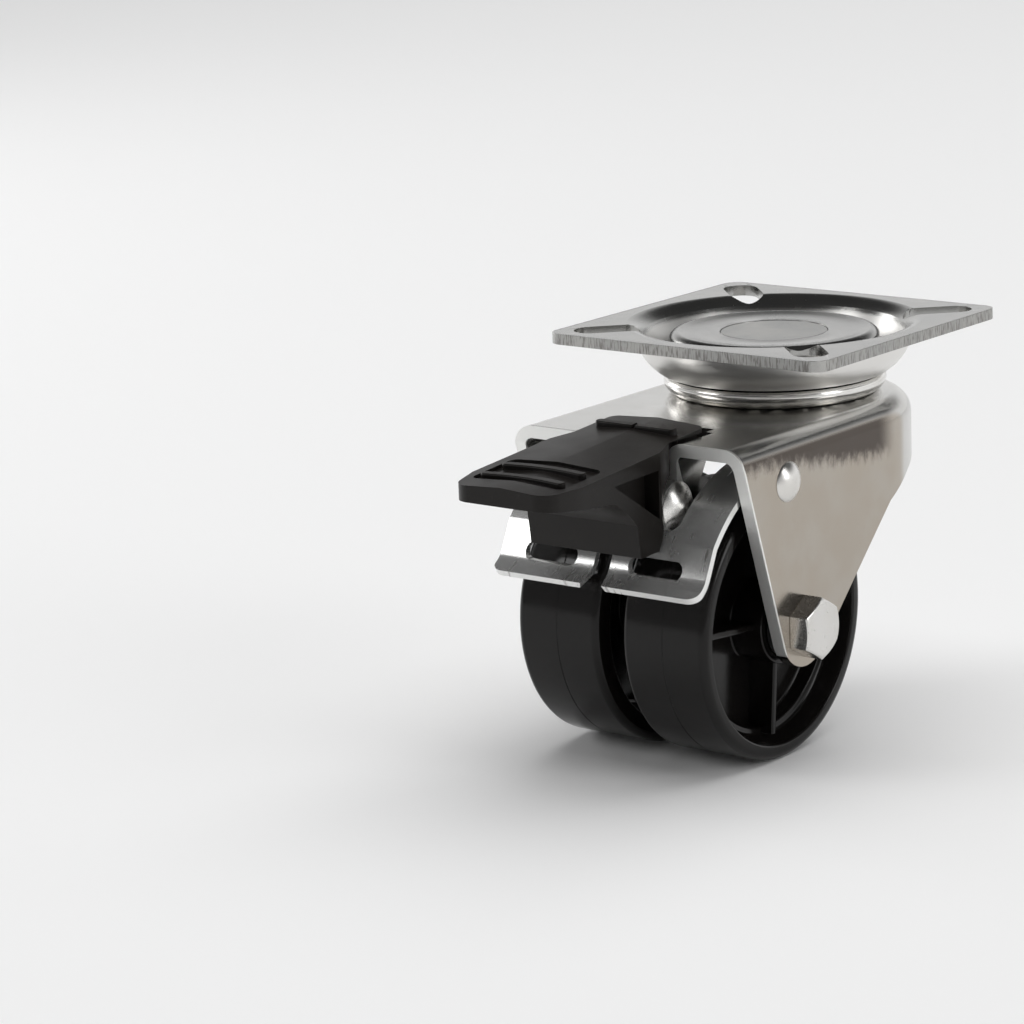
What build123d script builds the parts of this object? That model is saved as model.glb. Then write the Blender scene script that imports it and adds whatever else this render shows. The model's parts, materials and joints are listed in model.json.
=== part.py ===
"""Twin-wheel plate caster with a foot brake, built piece by piece.

Frame: the origin is the middle of the top plate's mounting face, on the swivel axis. +Z is up,
the wheels' axle runs along X, and the brake pedal reaches forward, towards -Y. Millimetres.
"""
import os
from math import atan2, cos, hypot, radians, sin, sqrt

from build123d import *

# ------------------------------------------------------------------ overall sizes
PLATE_SIZE = 60.0           # side of the square top plate
OVERALL_HEIGHT = 73.4       # mounting face to floor
WHEEL_DIAMETER = 50.0
WHEEL_WIDTH = 18.1          # one of the twin wheels
TRAIL = 28.5                # swivel axis to wheel axle
FORK_WIDTH = 50.0           # outside of the two legs
FORK_REACH = 18.1           # wheel axle to the crown's front edge

# ------------------------------------------------------------------ sheet thicknesses
PLATE_SHEET = 2.0
FORK_SHEET = 2.3
LEAF_SHEET = 1.2

# ------------------------------------------------------------------ clearances
RUN = 0.05                  # radial clearance of a shaft that turns in a bore
SEAT = 0.02                 # radial clearance of pieces fixed together
BALL_GAP = 0.10             # between a ball and its races
RACE_GAP = 0.25             # between the plate's trough and the ring under it
SIDE_GAP = 0.40             # beside a moving piece
TOUCH = 0.30                # between curved faces of different bodies

# ------------------------------------------------------------------ top plate
PLATE_CORNER = 3.0
SLOT_WIDTH = 6.5
SLOT_PITCH_IN = 39.0        # hole spacing at the slots' inner ends
SLOT_PITCH_OUT = 48.0       # hole spacing at the slots' outer ends
TROUGH_MOUTH = 25.2         # radius where the flat rim turns down into the trough
TROUGH_WALL = 22.9          # radius of the trough's outer wall, part of the way down
TROUGH_FLOOR = 21.3         # radius where the outer wall meets the trough's floor
DOME_RADIUS = 19.1          # rim of the dome inside the trough
DOME_TOP = -1.7
DOME_DISH = 0.25            # how far the dome falls to the middle
BOWL_BOTTOM = -9.35         # underside of the trough

# ------------------------------------------------------------------ kingpin and bearing
PIN_HEAD_RADIUS = 9.95
PIN_HEAD_THICKNESS = 1.1
PIN_HEAD_SINK = 0.05        # the head's top under the dome's inner edge
PIN_RADIUS = 6.0
UPPER_BALL = 5.0
UPPER_BALL_CIRCLE = 13.9    # radius
UPPER_BALL_COUNT = 15
LOWER_BALL = 4.0
LOWER_BALL_CIRCLE = 9.2
LOWER_BALL_COUNT = 12
GROOVE_DEPTH = 0.5
LOWER_CUP_SHEET = 1.8
LOWER_CUP_RADIUS = 11.6
PEEN_RADIUS = 7.6
PEEN_HEIGHT = 1.5

# ------------------------------------------------------------------ race ring
RING_RADIUS = 20.6
RING_WAIST = 18.9           # radius at its foot
RING_BORE = 17.4
RING_HEIGHT = 3.3
RING_PAD_HEIGHT = 0.4       # raised pad on the crown under the ring
RING_PAD_SPREAD = 2.1

# ------------------------------------------------------------------ fork
BEND_RADIUS = 4.0           # outside of the crown's edge
BOSS_RADIUS = 16.6          # raised boss under the upper balls
FORK_HOLE_RADIUS = 7.6
LEG_FRONT_DROP = 3.2        # straight stretch at the top of the leg's front edge
LEG_EYE_RADIUS = 7.3
LEG_BACK_DEPTH = 31.3       # height of the leg's back corner under the plate, at Y = 0
SKIRT_SHOULDER = 7.8        # swivel axis back to the corner between the leg and the skirt
SHOULDER_DEPTH = 27.1       # height of that corner under the plate
SKIRT_DEPTH = 22.0          # lower edge of the skirt behind the swivel, under the plate
NOTCH_HALF_WIDTH = 8.5
NOTCH_LENGTH = 13.2         # crown's front edge to the notch's rear edge
NOTCH_RELIEF = 1.2          # how much wider the notch is behind the ears, on each side
EAR_BEND = 3.3
EAR_LENGTH = 10.6           # along Y, at the top

# ------------------------------------------------------------------ wheels and axle
RIM_WALL = 2.7
WEB_DEPTH = 6.8             # outer face to the recessed web
WEB_RADIUS = 19.6
WEB_SHEET = 3.0
HUB_RADIUS = 7.4
RIB_COUNT = 4
RIB_SHEET = 1.4
RIB_INSET = 1.6             # rib's edge under the outer face
RIB_ROOT = 1.0              # how far the rib's ends run into the hub
RIB_ANGLE = 175.0           # direction of the first rib
TREAD_SHOULDER = 1.4
HOLLOW_LIP = 1.2            # how much thicker the rim is round the inner hollow
WHEEL_GAP = 5.0             # between the twin wheels
BOLT_RADIUS = 3.0
SLEEVE_RADIUS = 4.4
HEX_FLATS = 10.0
HEX_HEIGHT = 4.0
NUT_HEIGHT = 4.2
NUT_COLLAR_HEIGHT = 1.9
NUT_COLLAR_RADIUS = 4.5
NUT_COLLAR_SHEET = 0.6
NUT_COLLAR_LIP = 0.4        # rolled in over the insert
BOLT_TIP = 1.2              # thread past the nut
END_WASHER_RADIUS = 6.0

# ------------------------------------------------------------------ brake pedal
PEDAL_PIVOT_REACH = 0.2     # in front of the crown's front edge
PEDAL_PIVOT_DROP = 8.8      # under the crown's sheet
PIVOT_RADIUS = 2.5
EAR_LOBE_RADIUS = 4.5
PEDAL_BOSS_RADIUS = 4.7
EAR_POCKET_GAP = 1.3        # between the ear's lobe and the pedal's wide body
PIVOT_HEAD_RADIUS = 4.5
PIVOT_HEAD_HEIGHT = 2.1
TOE_LENGTH = 36.5           # crown's front edge to the toe's tip
TOE_THICKNESS = 3.4
TOE_HALF_WIDTH = 10.0
TOE_CORNER = 4.0
TOE_TAPER = 8.0             # length over which the toe widens
CHEEK_START = 6.5           # crown's front edge to where the pedal starts to narrow
CHEEK_END = 1.5             # crown's front edge to where it has narrowed
PEDAL_HALF_WIDTH = 12.0
HEEL_HALF_WIDTH = 10.2
HEEL_OVERLAP = 9.8          # how far the heel lies over the crown's front edge
HEEL_CORNER = 1.8
PEDAL_RISE = 1.8            # crease at the heel, over the crown
PEDAL_SLOPE = 0.0741        # fall of the top towards the toe
PEDAL_ROOF = 0.06           # fall of the top towards its sides
BLOCK_LENGTH = 5.4          # cam's nose to the foot of the block's front wall
BLOCK_WALL = 6.0            # height of the front wall
BLOCK_LEAN = 0.8            # how far the front wall leans forward
BLOCK_SCOOP = 7.0           # radius under the toe
SCOOP_BELLY = 0.4           # share of the scoop's corner that its arc fills
CAM_DROP = 1.5              # cam's nose under the leaf's corner
CAM_RISE = 0.2              # cam's nose over the block's foot
CAM_GAP = 1.0               # cam's nose in front of the leaf, along Y
CAM_JOIN_ANGLE = 18.0       # where the cam's back meets the boss, below the pivot's level

DENT_REACH = 20.0           # crown's front edge to the tip of the dent in the pedal's cheek
DENT_BACK = 7.0             # crown's front edge to the dent's rear side
DENT_TOP = 0.9              # dent's upper corner under the crown's sheet
DENT_TIP = 1.2              # dent's tip under the crown's sheet
DENT_FOOT = 9.6             # dent's lower corner under the crown's sheet
DENT_DEPTH = 3.2
GRIP_START = 4.4            # toe's tip to the shallow recess of the grip
GRIP_LENGTH = 12.2
GRIP_WIDTH = 19.6
GRIP_DEPTH = 0.6
GRIP_CORNER = 1.5
GRIP_RIBS = (7.4, 13.4)     # toe's tip to each rib of the grip
GRIP_RIB = (8.0, 1.7)       # half-length and width
HEEL_BAR = 6.8              # heel's edge to the raised bar
HEEL_BAR_RISE = 0.6
BAR_ROOT = 2.0              # how far a bar's foot runs into the pedal
BAR_ROUND = 0.3

# ------------------------------------------------------------------ brake leaf
LEAF_PIVOT_LEAN = 9.4       # direction of the pivot from the axle, degrees in front of upright
LEAF_PIVOT_DEPTH = 2.93     # pivot under the leaf's outer radius
LEAF_PIVOT_RADIUS = 2.0
LEAF_LOBE_RADIUS = 4.0
LEAF_HEAD_RADIUS = 3.7
LEAF_HEAD_HEIGHT = 1.6
LEAF_TREAD_GAP = 4.3        # under the leaf's curved arms
LEAF_CORNER_ANGLE = 38.7    # where the arms turn down into the apron, degrees over the axle's front
LEAF_REAR_ANGLE = 96.0      # where the arms end, degrees over the axle's front
APRON_REACH = 3.1           # leaf's corner to the apron's foot, forward
APRON_DROP = 6.4
LIP_REACH = 2.9             # apron's foot to the lip's edge, forward
LIP_DROP = 1.6
LEAF_BAND = 1.4             # joins the two halves above the slit, along Y
LEAF_SLIT = 3.5
LEAF_SLIT_DROP = 2.1        # leaf's corner to the slit's top
LEAF_SLOT_DROP = 4.6        # leaf's corner to the slots' middle
LEAF_SLOT_LENGTH = 11.5
LEAF_SLOT_HEIGHT = 3.2
LEAF_SLOT_MIDDLE = 11.3     # from the middle plane
LEAF_WINDOW_GAP = 0.7       # beside the pivot's head
TAB_SWEEP = 20.0            # degrees of the arm that each hanging tab is joined to
TAB_FRONT = 6.5             # pivot to the tab's front corner
TAB_CORNER_DROP = 2.2       # pivot to the tab's front corner, down
TAB_WAIST = 1.5             # pivot to the corner between the tab and its eye

# ------------------------------------------------------------------ pedal spring
SPRING_WIRE = 1.0
SPRING_TURNS = 3
SPRING_SLOT = 5.2           # width of the slot in the pedal's boss

# ------------------------------------------------------------------ worked out
AXLE_Y = -TRAIL
FORK_FRONT = TRAIL + FORK_REACH
NOTCH_BACK = FORK_FRONT - NOTCH_LENGTH
TOE_REACH = FORK_FRONT + TOE_LENGTH
WHEEL_RADIUS = WHEEL_DIAMETER / 2
AXLE_Z = WHEEL_RADIUS - OVERALL_HEIGHT
LEG_OUT = FORK_WIDTH / 2
LEG_IN = LEG_OUT - FORK_SHEET
WHEEL_IN = WHEEL_GAP / 2
WHEEL_OUT = WHEEL_IN + WHEEL_WIDTH
DOME_UNDER = DOME_TOP - DOME_DISH - PLATE_SHEET
BOSS_TOP = DOME_UNDER - UPPER_BALL - 2 * BALL_GAP
RING_TOP = BOWL_BOTTOM - RACE_GAP
RING_FOOT = RING_TOP - RING_HEIGHT
CROWN_TOP = RING_FOOT - RING_PAD_HEIGHT
CROWN_UNDER = CROWN_TOP - FORK_SHEET
BOSS_UNDER = BOSS_TOP - FORK_SHEET
CUP_TOP = BOSS_UNDER - LOWER_BALL - 2 * BALL_GAP
CUP_UNDER = CUP_TOP - LOWER_CUP_SHEET
EAR_OUT = NOTCH_HALF_WIDTH + FORK_SHEET
LEAF_OUT = LEG_IN - SIDE_GAP
LEAF_IN = LEAF_OUT - LEAF_SHEET
LEAF_WINDOW = EAR_OUT + PIVOT_HEAD_HEIGHT + LEAF_WINDOW_GAP
PEDAL_CORE = NOTCH_HALF_WIDTH - TOUCH
PEDAL_PIVOT = (-FORK_FRONT - PEDAL_PIVOT_REACH, CROWN_UNDER - PEDAL_PIVOT_DROP)
HEEL_REACH = FORK_FRONT - HEEL_OVERLAP
PEDAL_TOP = CROWN_TOP + PEDAL_RISE


def around_axle(radius: float, angle: float) -> tuple:
    """(y, z) of a point round the axle, its angle in degrees over the axle's front."""
    return (AXLE_Y - radius * cos(radians(angle)), AXLE_Z + radius * sin(radians(angle)))


LEAF_RADIUS = WHEEL_RADIUS + LEAF_TREAD_GAP + LEAF_SHEET
LEAF_PIVOT = around_axle(LEAF_RADIUS - LEAF_PIVOT_DEPTH, 90 - LEAF_PIVOT_LEAN)
LEAF_CORNER = around_axle(LEAF_RADIUS, LEAF_CORNER_ANGLE)
APRON_FOOT = (LEAF_CORNER[0] - APRON_REACH, LEAF_CORNER[1] - APRON_DROP)
LIP_TIP = (APRON_FOOT[0] - LIP_REACH, APRON_FOOT[1] - LIP_DROP)
CAM = (LEAF_CORNER[0] - CAM_DROP * APRON_REACH / APRON_DROP - CAM_GAP, LEAF_CORNER[1] - CAM_DROP)
BLOCK_BOTTOM = CAM[1] - CAM_RISE
BLOCK_FRONT = CAM[0] - BLOCK_LENGTH


def revolve_profile(points: list) -> Part:
    """Turn a closed (radius, z) outline about the swivel axis."""
    outline = Polyline(*[(r, 0, z) for r, z in points], close=True)
    return revolve(make_face(outline), Axis.Z)


def turned(points: list, at_y: float, at_z: float) -> Part:
    """Turn a closed (x, radius) outline about a line along X through (at_y, at_z)."""
    outline = Polyline(*[(x, at_y + r, at_z) for x, r in points], close=True)
    return revolve(make_face(outline), Axis((0, at_y, at_z), (1, 0, 0)))


def side_plate(face_yz, x_low: float, x_high: float) -> Part:
    """Extrude a face drawn on the YZ plane from x_low to x_high."""
    return Pos(x_low, 0, 0) * extrude(face_yz, x_high - x_low, dir=(1, 0, 0))


def yz_polygon(points: list):
    """Face on the YZ plane through the given (y, z) corners."""
    return make_face(Polyline(*[(0, y, z) for y, z in points], close=True))


def rod(radius: float, x_low: float, x_high: float, at_y: float, at_z: float) -> Part:
    """Cylinder along X."""
    place = Plane(origin=(x_low, at_y, at_z), x_dir=(0, 1, 0), z_dir=(1, 0, 0))
    return extrude(place * Circle(radius), x_high - x_low)


def dome_head(radius: float, height: float, x_face: float, side: int, at_y: float, at_z: float) -> Part:
    """Domed rivet head that stands on the plane x = x_face, towards side."""
    sphere_radius = (radius ** 2 + height ** 2) / (2 * height)
    rise = sqrt(sphere_radius ** 2 - (radius / 2) ** 2) - (sphere_radius - height)
    outline = Wire([
        Line((x_face, at_y, at_z), (x_face, at_y + radius, at_z)),
        ThreePointArc((x_face, at_y + radius, at_z), (x_face + side * rise, at_y + radius / 2, at_z),
                      (x_face + side * height, at_y, at_z)),
        Line((x_face + side * height, at_y, at_z), (x_face, at_y, at_z)),
    ])
    return revolve(make_face(outline), Axis((0, at_y, at_z), (1, 0, 0)))


def hexagon(flats: float, x_low: float, x_high: float, at_y: float, at_z: float) -> Part:
    """Hexagonal prism along X with one of its corners pointing upwards."""
    place = Plane(origin=(x_low, at_y, at_z), x_dir=(0, 0, 1), z_dir=(1, 0, 0))
    return extrude(place * RegularPolygon(flats / 2, 6, major_radius=False), x_high - x_low)


def tangent_from(point: tuple, centre: tuple, radius: float, side: int) -> tuple:
    """Where the tangent from a (y, z) point meets a circle, on the given side."""
    away = (point[0] - centre[0], point[1] - centre[1])
    reach = hypot(*away)
    swing = sqrt(1 - (radius / reach) ** 2)
    along = radius / reach
    unit = (away[0] / reach, away[1] / reach)
    normal = (-unit[1] * side, unit[0] * side)
    return (centre[0] + radius * (unit[0] * along + normal[0] * swing),
            centre[1] + radius * (unit[1] * along + normal[1] * swing))


# ------------------------------------------------------------------ top plate and bearing
def top_plate() -> Part:
    """Square plate with a pressed trough, a dome and four slots on the diagonals."""
    square = Rectangle(PLATE_SIZE, PLATE_SIZE)
    sheet = Pos(0, 0, -PLATE_SHEET) * extrude(fillet(square.vertices(), PLATE_CORNER), PLATE_SHEET)
    span = (SLOT_PITCH_OUT - SLOT_PITCH_IN) / sqrt(2)
    middle = (SLOT_PITCH_OUT + SLOT_PITCH_IN) / 2 / sqrt(2)
    t = PLATE_SHEET
    floor = BOWL_BOTTOM + t
    inner = DOME_RADIUS
    outline = [
        (TROUGH_MOUTH + t, 0), (TROUGH_MOUTH, 0), (TROUGH_MOUTH - 0.9, -0.25), (TROUGH_WALL + 0.5, -1.2),
        (TROUGH_WALL, -2.8), (TROUGH_FLOOR + 0.9, floor + 1.4), (TROUGH_FLOOR, floor),
        (inner + 1.3, floor), (inner + 0.55, DOME_TOP - 1.6), (inner, DOME_TOP - 0.45),
        (inner - 0.8, DOME_TOP), (PIN_HEAD_RADIUS + SEAT, DOME_TOP - DOME_DISH),
        (PIN_HEAD_RADIUS + SEAT, DOME_TOP - DOME_DISH - PIN_HEAD_SINK - PIN_HEAD_THICKNESS),
        (PIN_RADIUS + SEAT, DOME_TOP - DOME_DISH - PIN_HEAD_SINK - PIN_HEAD_THICKNESS),
        (PIN_RADIUS + SEAT, DOME_UNDER), (inner - t + 0.1, DOME_UNDER), (inner - t + 0.5, DOME_UNDER - 1.5),
        (inner - 0.6, BOWL_BOTTOM + 0.5), (inner, BOWL_BOTTOM), (TROUGH_FLOOR - 0.5, BOWL_BOTTOM),
        (TROUGH_FLOOR + 1.3, BOWL_BOTTOM + 1.0), (TROUGH_WALL + 0.9, -5.6), (TROUGH_WALL + t, -3.3),
        (TROUGH_MOUTH + 0.3, -t), (TROUGH_MOUTH + t, -t),
    ]
    plate = sheet - Cylinder(TROUGH_MOUTH + t / 2, 3 * t) + revolve_profile(outline)
    slot = Pos(0, 0, -1.2 * t) * extrude(SlotCenterToCenter(span, SLOT_WIDTH), 2 * t)
    for turn in range(4):
        plate -= Rot(0, 0, 45 + 90 * turn) * Pos(middle, 0, 0) * slot
    return plate


def kingpin() -> Part:
    """Headed pin through the swivel, peened over under the lower cup."""
    head_top = DOME_TOP - DOME_DISH - PIN_HEAD_SINK
    head_under = head_top - PIN_HEAD_THICKNESS
    bottom = CUP_UNDER - PEEN_HEIGHT
    return revolve_profile([
        (0, head_top), (PIN_HEAD_RADIUS - 0.2, head_top), (PIN_HEAD_RADIUS, head_top - 0.2),
        (PIN_HEAD_RADIUS, head_under), (PIN_RADIUS, head_under), (PIN_RADIUS, CUP_UNDER),
        (PEEN_RADIUS, CUP_UNDER), (PEEN_RADIUS - 0.5, CUP_UNDER - 0.8 * PEEN_HEIGHT),
        (PEEN_RADIUS - 1.8, bottom), (0, bottom),
    ])


def ball_ring(diameter: float, circle: float, count: int, z: float) -> Compound:
    """Loose balls evenly round the swivel axis."""
    balls = [Rot(0, 0, 360 * n / count) * Pos(circle, 0, z) * Sphere(diameter / 2) for n in range(count)]
    return Compound(children=balls)


def lower_cup() -> Part:
    """Dished washer that carries the lower balls on the kingpin."""
    rim = GROOVE_DEPTH
    return revolve_profile([
        (PIN_RADIUS + SEAT, CUP_TOP), (LOWER_BALL_CIRCLE + LOWER_BALL / 2 - 0.3, CUP_TOP),
        (LOWER_CUP_RADIUS, CUP_TOP + rim), (LOWER_CUP_RADIUS, CUP_UNDER + 0.6),
        (LOWER_CUP_RADIUS - 0.6, CUP_UNDER), (PIN_RADIUS + SEAT, CUP_UNDER),
    ])


def race_ring() -> Part:
    """Rounded ring on the crown that closes the gap under the plate's trough."""
    middle = (RING_TOP + RING_FOOT) / 2
    return revolve_profile([
        (RING_BORE, RING_TOP), (RING_RADIUS - 0.7, RING_TOP), (RING_RADIUS - 0.15, RING_TOP - 0.5),
        (RING_RADIUS, middle + 0.5), (RING_RADIUS - 0.2, middle - 0.2), (RING_RADIUS - 0.7, middle - 0.9),
        (RING_WAIST, RING_FOOT), (RING_BORE, RING_FOOT),
    ])


# ------------------------------------------------------------------ fork
def crown_shell(half_width: float, top: float, bend: float) -> Part:
    """Solid fork envelope: straight sides, a half-round back and a rounded top edge."""
    reach = FORK_FRONT + 20
    depth = -AXLE_Z + 2 * LEG_EYE_RADIUS + top
    plan = Pos(0, -reach / 2) * Rectangle(2 * half_width, reach) + Circle(half_width)
    body = Pos(0, 0, top - depth) * extrude(plan, depth)
    rim = [e for e in body.edges() if abs(e.center().Z - top) < 1e-6 and e.center().Y > 1 - reach]
    return fillet(rim, bend)


def leg_profile():
    """Side view of the fork: crown, leg and rear skirt, as one face on the YZ plane."""
    eye = (AXLE_Y, AXLE_Z)
    front_top = (-FORK_FRONT, CROWN_TOP - LEG_FRONT_DROP)
    front_eye = tangent_from(front_top, eye, LEG_EYE_RADIUS, 1)
    back_corner = (0.0, -LEG_BACK_DEPTH)
    back_eye = tangent_from(back_corner, eye, LEG_EYE_RADIUS, -1)
    bottom = (eye[0], eye[1] - LEG_EYE_RADIUS)
    shoulder = (SKIRT_SHOULDER, -SHOULDER_DEPTH)
    rear = LEG_OUT + 1
    outline = [
        Line((0, -FORK_FRONT, CROWN_TOP + 1), (0, *front_top)),
        Line((0, *front_top), (0, *front_eye)),
        ThreePointArc((0, *front_eye), (0, *bottom), (0, *back_eye)),
        Line((0, *back_eye), (0, *back_corner)),
        Line((0, *back_corner), (0, *shoulder)),
        Line((0, *shoulder), (0, rear, -SKIRT_DEPTH)),
        Line((0, rear, -SKIRT_DEPTH), (0, rear, CROWN_TOP + 1)),
        Line((0, rear, CROWN_TOP + 1), (0, -FORK_FRONT, CROWN_TOP + 1)),
    ]
    return make_face(Wire(outline))


def ear_profile():
    """Side view of one ear: the folded tab that ends in a lobe round the pedal's pivot."""
    pivot = PEDAL_PIVOT
    top = CROWN_UNDER + 0.5
    front = (-FORK_FRONT, top)
    front_low = (-FORK_FRONT, pivot[1] + 0.92 * EAR_LOBE_RADIUS)
    rear = (-FORK_FRONT + EAR_LENGTH, top)
    rear_low = tangent_from(rear, pivot, EAR_LOBE_RADIUS, -1)
    web = yz_polygon([front, front_low, pivot, rear_low, rear])
    lobe = Plane(origin=(0, *pivot), x_dir=(0, 1, 0), z_dir=(1, 0, 0)) * Circle(EAR_LOBE_RADIUS)
    return web + lobe


def ear_bend() -> Part:
    """Bent stretch that joins the crown to the right ear."""
    x_in, x_out, x_flat = NOTCH_HALF_WIDTH, EAR_OUT, NOTCH_HALF_WIDTH + EAR_BEND
    inner = EAR_BEND - FORK_SHEET
    low = CROWN_UNDER - 2 * inner
    y = -FORK_FRONT + EAR_LENGTH

    def arc(radius: float) -> Edge:
        z = CROWN_TOP - EAR_BEND
        part_way = radius / sqrt(2)
        halfway = (x_flat - part_way, y, z + part_way)
        return ThreePointArc((x_flat, y, z + radius), halfway, (x_flat - radius, y, z))

    outline = [
        arc(EAR_BEND), Line((x_in, y, CROWN_TOP - EAR_BEND), (x_in, y, low)),
        Line((x_in, y, low), (x_out, y, low)), Line((x_out, y, low), (x_out, y, CROWN_TOP - EAR_BEND)),
        arc(inner), Line((x_flat, y, CROWN_UNDER), (x_flat, y, CROWN_TOP)),
    ]
    return extrude(make_face(Wire(outline)), EAR_LENGTH, dir=(0, -1, 0))


def fork() -> Part:
    """Pressed fork: crown with ball boss, two legs, rear skirt, notch and pedal ears."""
    outside = crown_shell(LEG_OUT, CROWN_TOP, BEND_RADIUS)
    inside = crown_shell(LEG_IN, CROWN_UNDER, BEND_RADIUS - FORK_SHEET)
    shell = (outside - inside) & side_plate(leg_profile(), -LEG_OUT - 1, LEG_OUT + 1)
    shell -= Cylinder(BOSS_RADIUS, 2 * OVERALL_HEIGHT)
    t = FORK_SHEET
    shell += revolve_profile([
        (RING_WAIST + RING_PAD_SPREAD, CROWN_TOP), (RING_WAIST, RING_FOOT), (BOSS_RADIUS, RING_FOOT),
        (BOSS_RADIUS - 0.5, BOSS_TOP + 0.6), (BOSS_RADIUS - 1.1, BOSS_TOP),
        (FORK_HOLE_RADIUS, BOSS_TOP), (FORK_HOLE_RADIUS, BOSS_UNDER), (BOSS_RADIUS - t - 0.6, BOSS_UNDER),
        (BOSS_RADIUS - t, CROWN_UNDER), (RING_WAIST, CROWN_UNDER),
        (RING_WAIST + RING_PAD_SPREAD, CROWN_UNDER),
    ])
    bent_to = NOTCH_HALF_WIDTH + EAR_BEND
    notch_high = 8 * t
    shell -= Pos(0, -FORK_FRONT, CROWN_TOP) * Box(2 * bent_to, 2 * EAR_LENGTH, notch_high)
    notch = Box(2 * (NOTCH_HALF_WIDTH + NOTCH_RELIEF), NOTCH_LENGTH, notch_high)
    shell -= Pos(0, -NOTCH_BACK - NOTCH_LENGTH / 2, CROWN_TOP) * notch
    for side in (-1, 1):
        low, high = sorted((side * NOTCH_HALF_WIDTH, side * EAR_OUT))
        shell += side_plate(ear_profile(), low, high)
        shell += ear_bend() if side > 0 else mirror(ear_bend(), Plane.YZ)
    shell -= rod(PIVOT_RADIUS + SEAT, -EAR_OUT - 1, EAR_OUT + 1, *PEDAL_PIVOT)
    shell -= rod(LEAF_PIVOT_RADIUS + SEAT, -LEG_OUT - 1, LEG_OUT + 1, *LEAF_PIVOT)
    shell -= rod(BOLT_RADIUS + SEAT, -LEG_OUT - 1, LEG_OUT + 1, AXLE_Y, AXLE_Z)
    return shell


# ------------------------------------------------------------------ wheels and axle
def wheel(side: int) -> Part:
    """One moulded wheel: solid tread, recessed web with radial ribs, and a long hub."""
    web_out = WHEEL_OUT - WEB_DEPTH
    bore = SLEEVE_RADIUS + RUN
    rim_in = WHEEL_RADIUS - RIM_WALL
    s = TREAD_SHOULDER
    body = turned([
        (WHEEL_IN, bore), (WHEEL_IN, WHEEL_RADIUS - s), (WHEEL_IN + 0.3 * s, WHEEL_RADIUS - 0.3 * s),
        (WHEEL_IN + s, WHEEL_RADIUS), (WHEEL_OUT - s, WHEEL_RADIUS),
        (WHEEL_OUT - 0.3 * s, WHEEL_RADIUS - 0.3 * s), (WHEEL_OUT, WHEEL_RADIUS - s), (WHEEL_OUT, rim_in),
        (WHEEL_OUT - 0.5, rim_in - 0.3), (web_out + 1.6, WEB_RADIUS + 0.9), (web_out, WEB_RADIUS),
        (web_out, HUB_RADIUS + 0.6), (web_out + 0.6, HUB_RADIUS), (WHEEL_OUT, HUB_RADIUS), (WHEEL_OUT, bore),
    ], AXLE_Y, AXLE_Z)
    hollow = turned([
        (WHEEL_IN - 1, HUB_RADIUS), (WHEEL_IN - 1, rim_in - HOLLOW_LIP), (WHEEL_IN, rim_in - HOLLOW_LIP),
        (web_out - WEB_SHEET, WEB_RADIUS), (web_out - WEB_SHEET, HUB_RADIUS),
    ], AXLE_Y, AXLE_Z)
    body -= hollow
    rib_width = WHEEL_OUT - RIB_INSET - web_out
    rib_start = HUB_RADIUS - RIB_ROOT
    rib_end = WEB_RADIUS + 2 * RIB_ROOT
    rib = Pos(web_out + rib_width / 2, (rib_start + rib_end) / 2, 0)
    rib *= Box(rib_width, rib_end - rib_start, RIB_SHEET)
    for n in range(RIB_COUNT):
        body += Pos(0, AXLE_Y, AXLE_Z) * Rot(RIB_ANGLE + 360 * n / RIB_COUNT, 0, 0) * rib
    return body if side > 0 else mirror(body, Plane.YZ)


def axle_bolt() -> Part:
    """Hexagon-head bolt across the fork, threaded end towards -X."""
    head = hexagon(HEX_FLATS, LEG_OUT, LEG_OUT + HEX_HEIGHT, AXLE_Y, AXLE_Z)
    corner = HEX_FLATS / sqrt(3)
    head &= turned([(LEG_OUT, 0), (LEG_OUT, corner), (LEG_OUT + HEX_HEIGHT - 0.55, corner),
                    (LEG_OUT + HEX_HEIGHT, 0.93 * HEX_FLATS / 2), (LEG_OUT + HEX_HEIGHT, 0)], AXLE_Y, AXLE_Z)
    tip = -LEG_OUT - NUT_HEIGHT - NUT_COLLAR_HEIGHT - BOLT_TIP
    shank = turned([(LEG_OUT + 0.5, 0), (LEG_OUT + 0.5, BOLT_RADIUS), (tip + 0.7, BOLT_RADIUS),
                    (tip, BOLT_RADIUS - 0.7), (tip, 0)], AXLE_Y, AXLE_Z)
    return head + shank


def axle_nut() -> Part:
    """Hexagon nut with a round collar that holds the locking insert."""
    far = -LEG_OUT - NUT_HEIGHT
    corner = HEX_FLATS / sqrt(3)
    nut = hexagon(HEX_FLATS, far, -LEG_OUT, AXLE_Y, AXLE_Z)
    nut &= turned([(-LEG_OUT, 0), (-LEG_OUT, corner), (far + 0.5, corner), (far, 0.95 * HEX_FLATS / 2),
                   (far, 0)], AXLE_Y, AXLE_Z)
    nut += rod(NUT_COLLAR_RADIUS, far - NUT_COLLAR_HEIGHT, far, AXLE_Y, AXLE_Z)
    rim = NUT_COLLAR_RADIUS - NUT_COLLAR_SHEET
    nut -= rod(rim, far - NUT_COLLAR_HEIGHT + NUT_COLLAR_LIP, far, AXLE_Y, AXLE_Z)
    nut -= rod(rim - NUT_COLLAR_LIP, far - 2 * NUT_COLLAR_HEIGHT, far, AXLE_Y, AXLE_Z)
    return nut - rod(BOLT_RADIUS + SEAT, far - 2 * NUT_COLLAR_HEIGHT, 0, AXLE_Y, AXLE_Z)


def nut_insert() -> Part:
    """Nylon ring held in the nut's collar."""
    far = -LEG_OUT - NUT_HEIGHT
    outer = NUT_COLLAR_RADIUS - NUT_COLLAR_SHEET - SEAT
    ring = rod(outer, far - NUT_COLLAR_HEIGHT + NUT_COLLAR_LIP + SEAT, far - SEAT, AXLE_Y, AXLE_Z)
    return ring - rod(BOLT_RADIUS + SEAT, far - NUT_COLLAR_HEIGHT, far, AXLE_Y, AXLE_Z)


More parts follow.
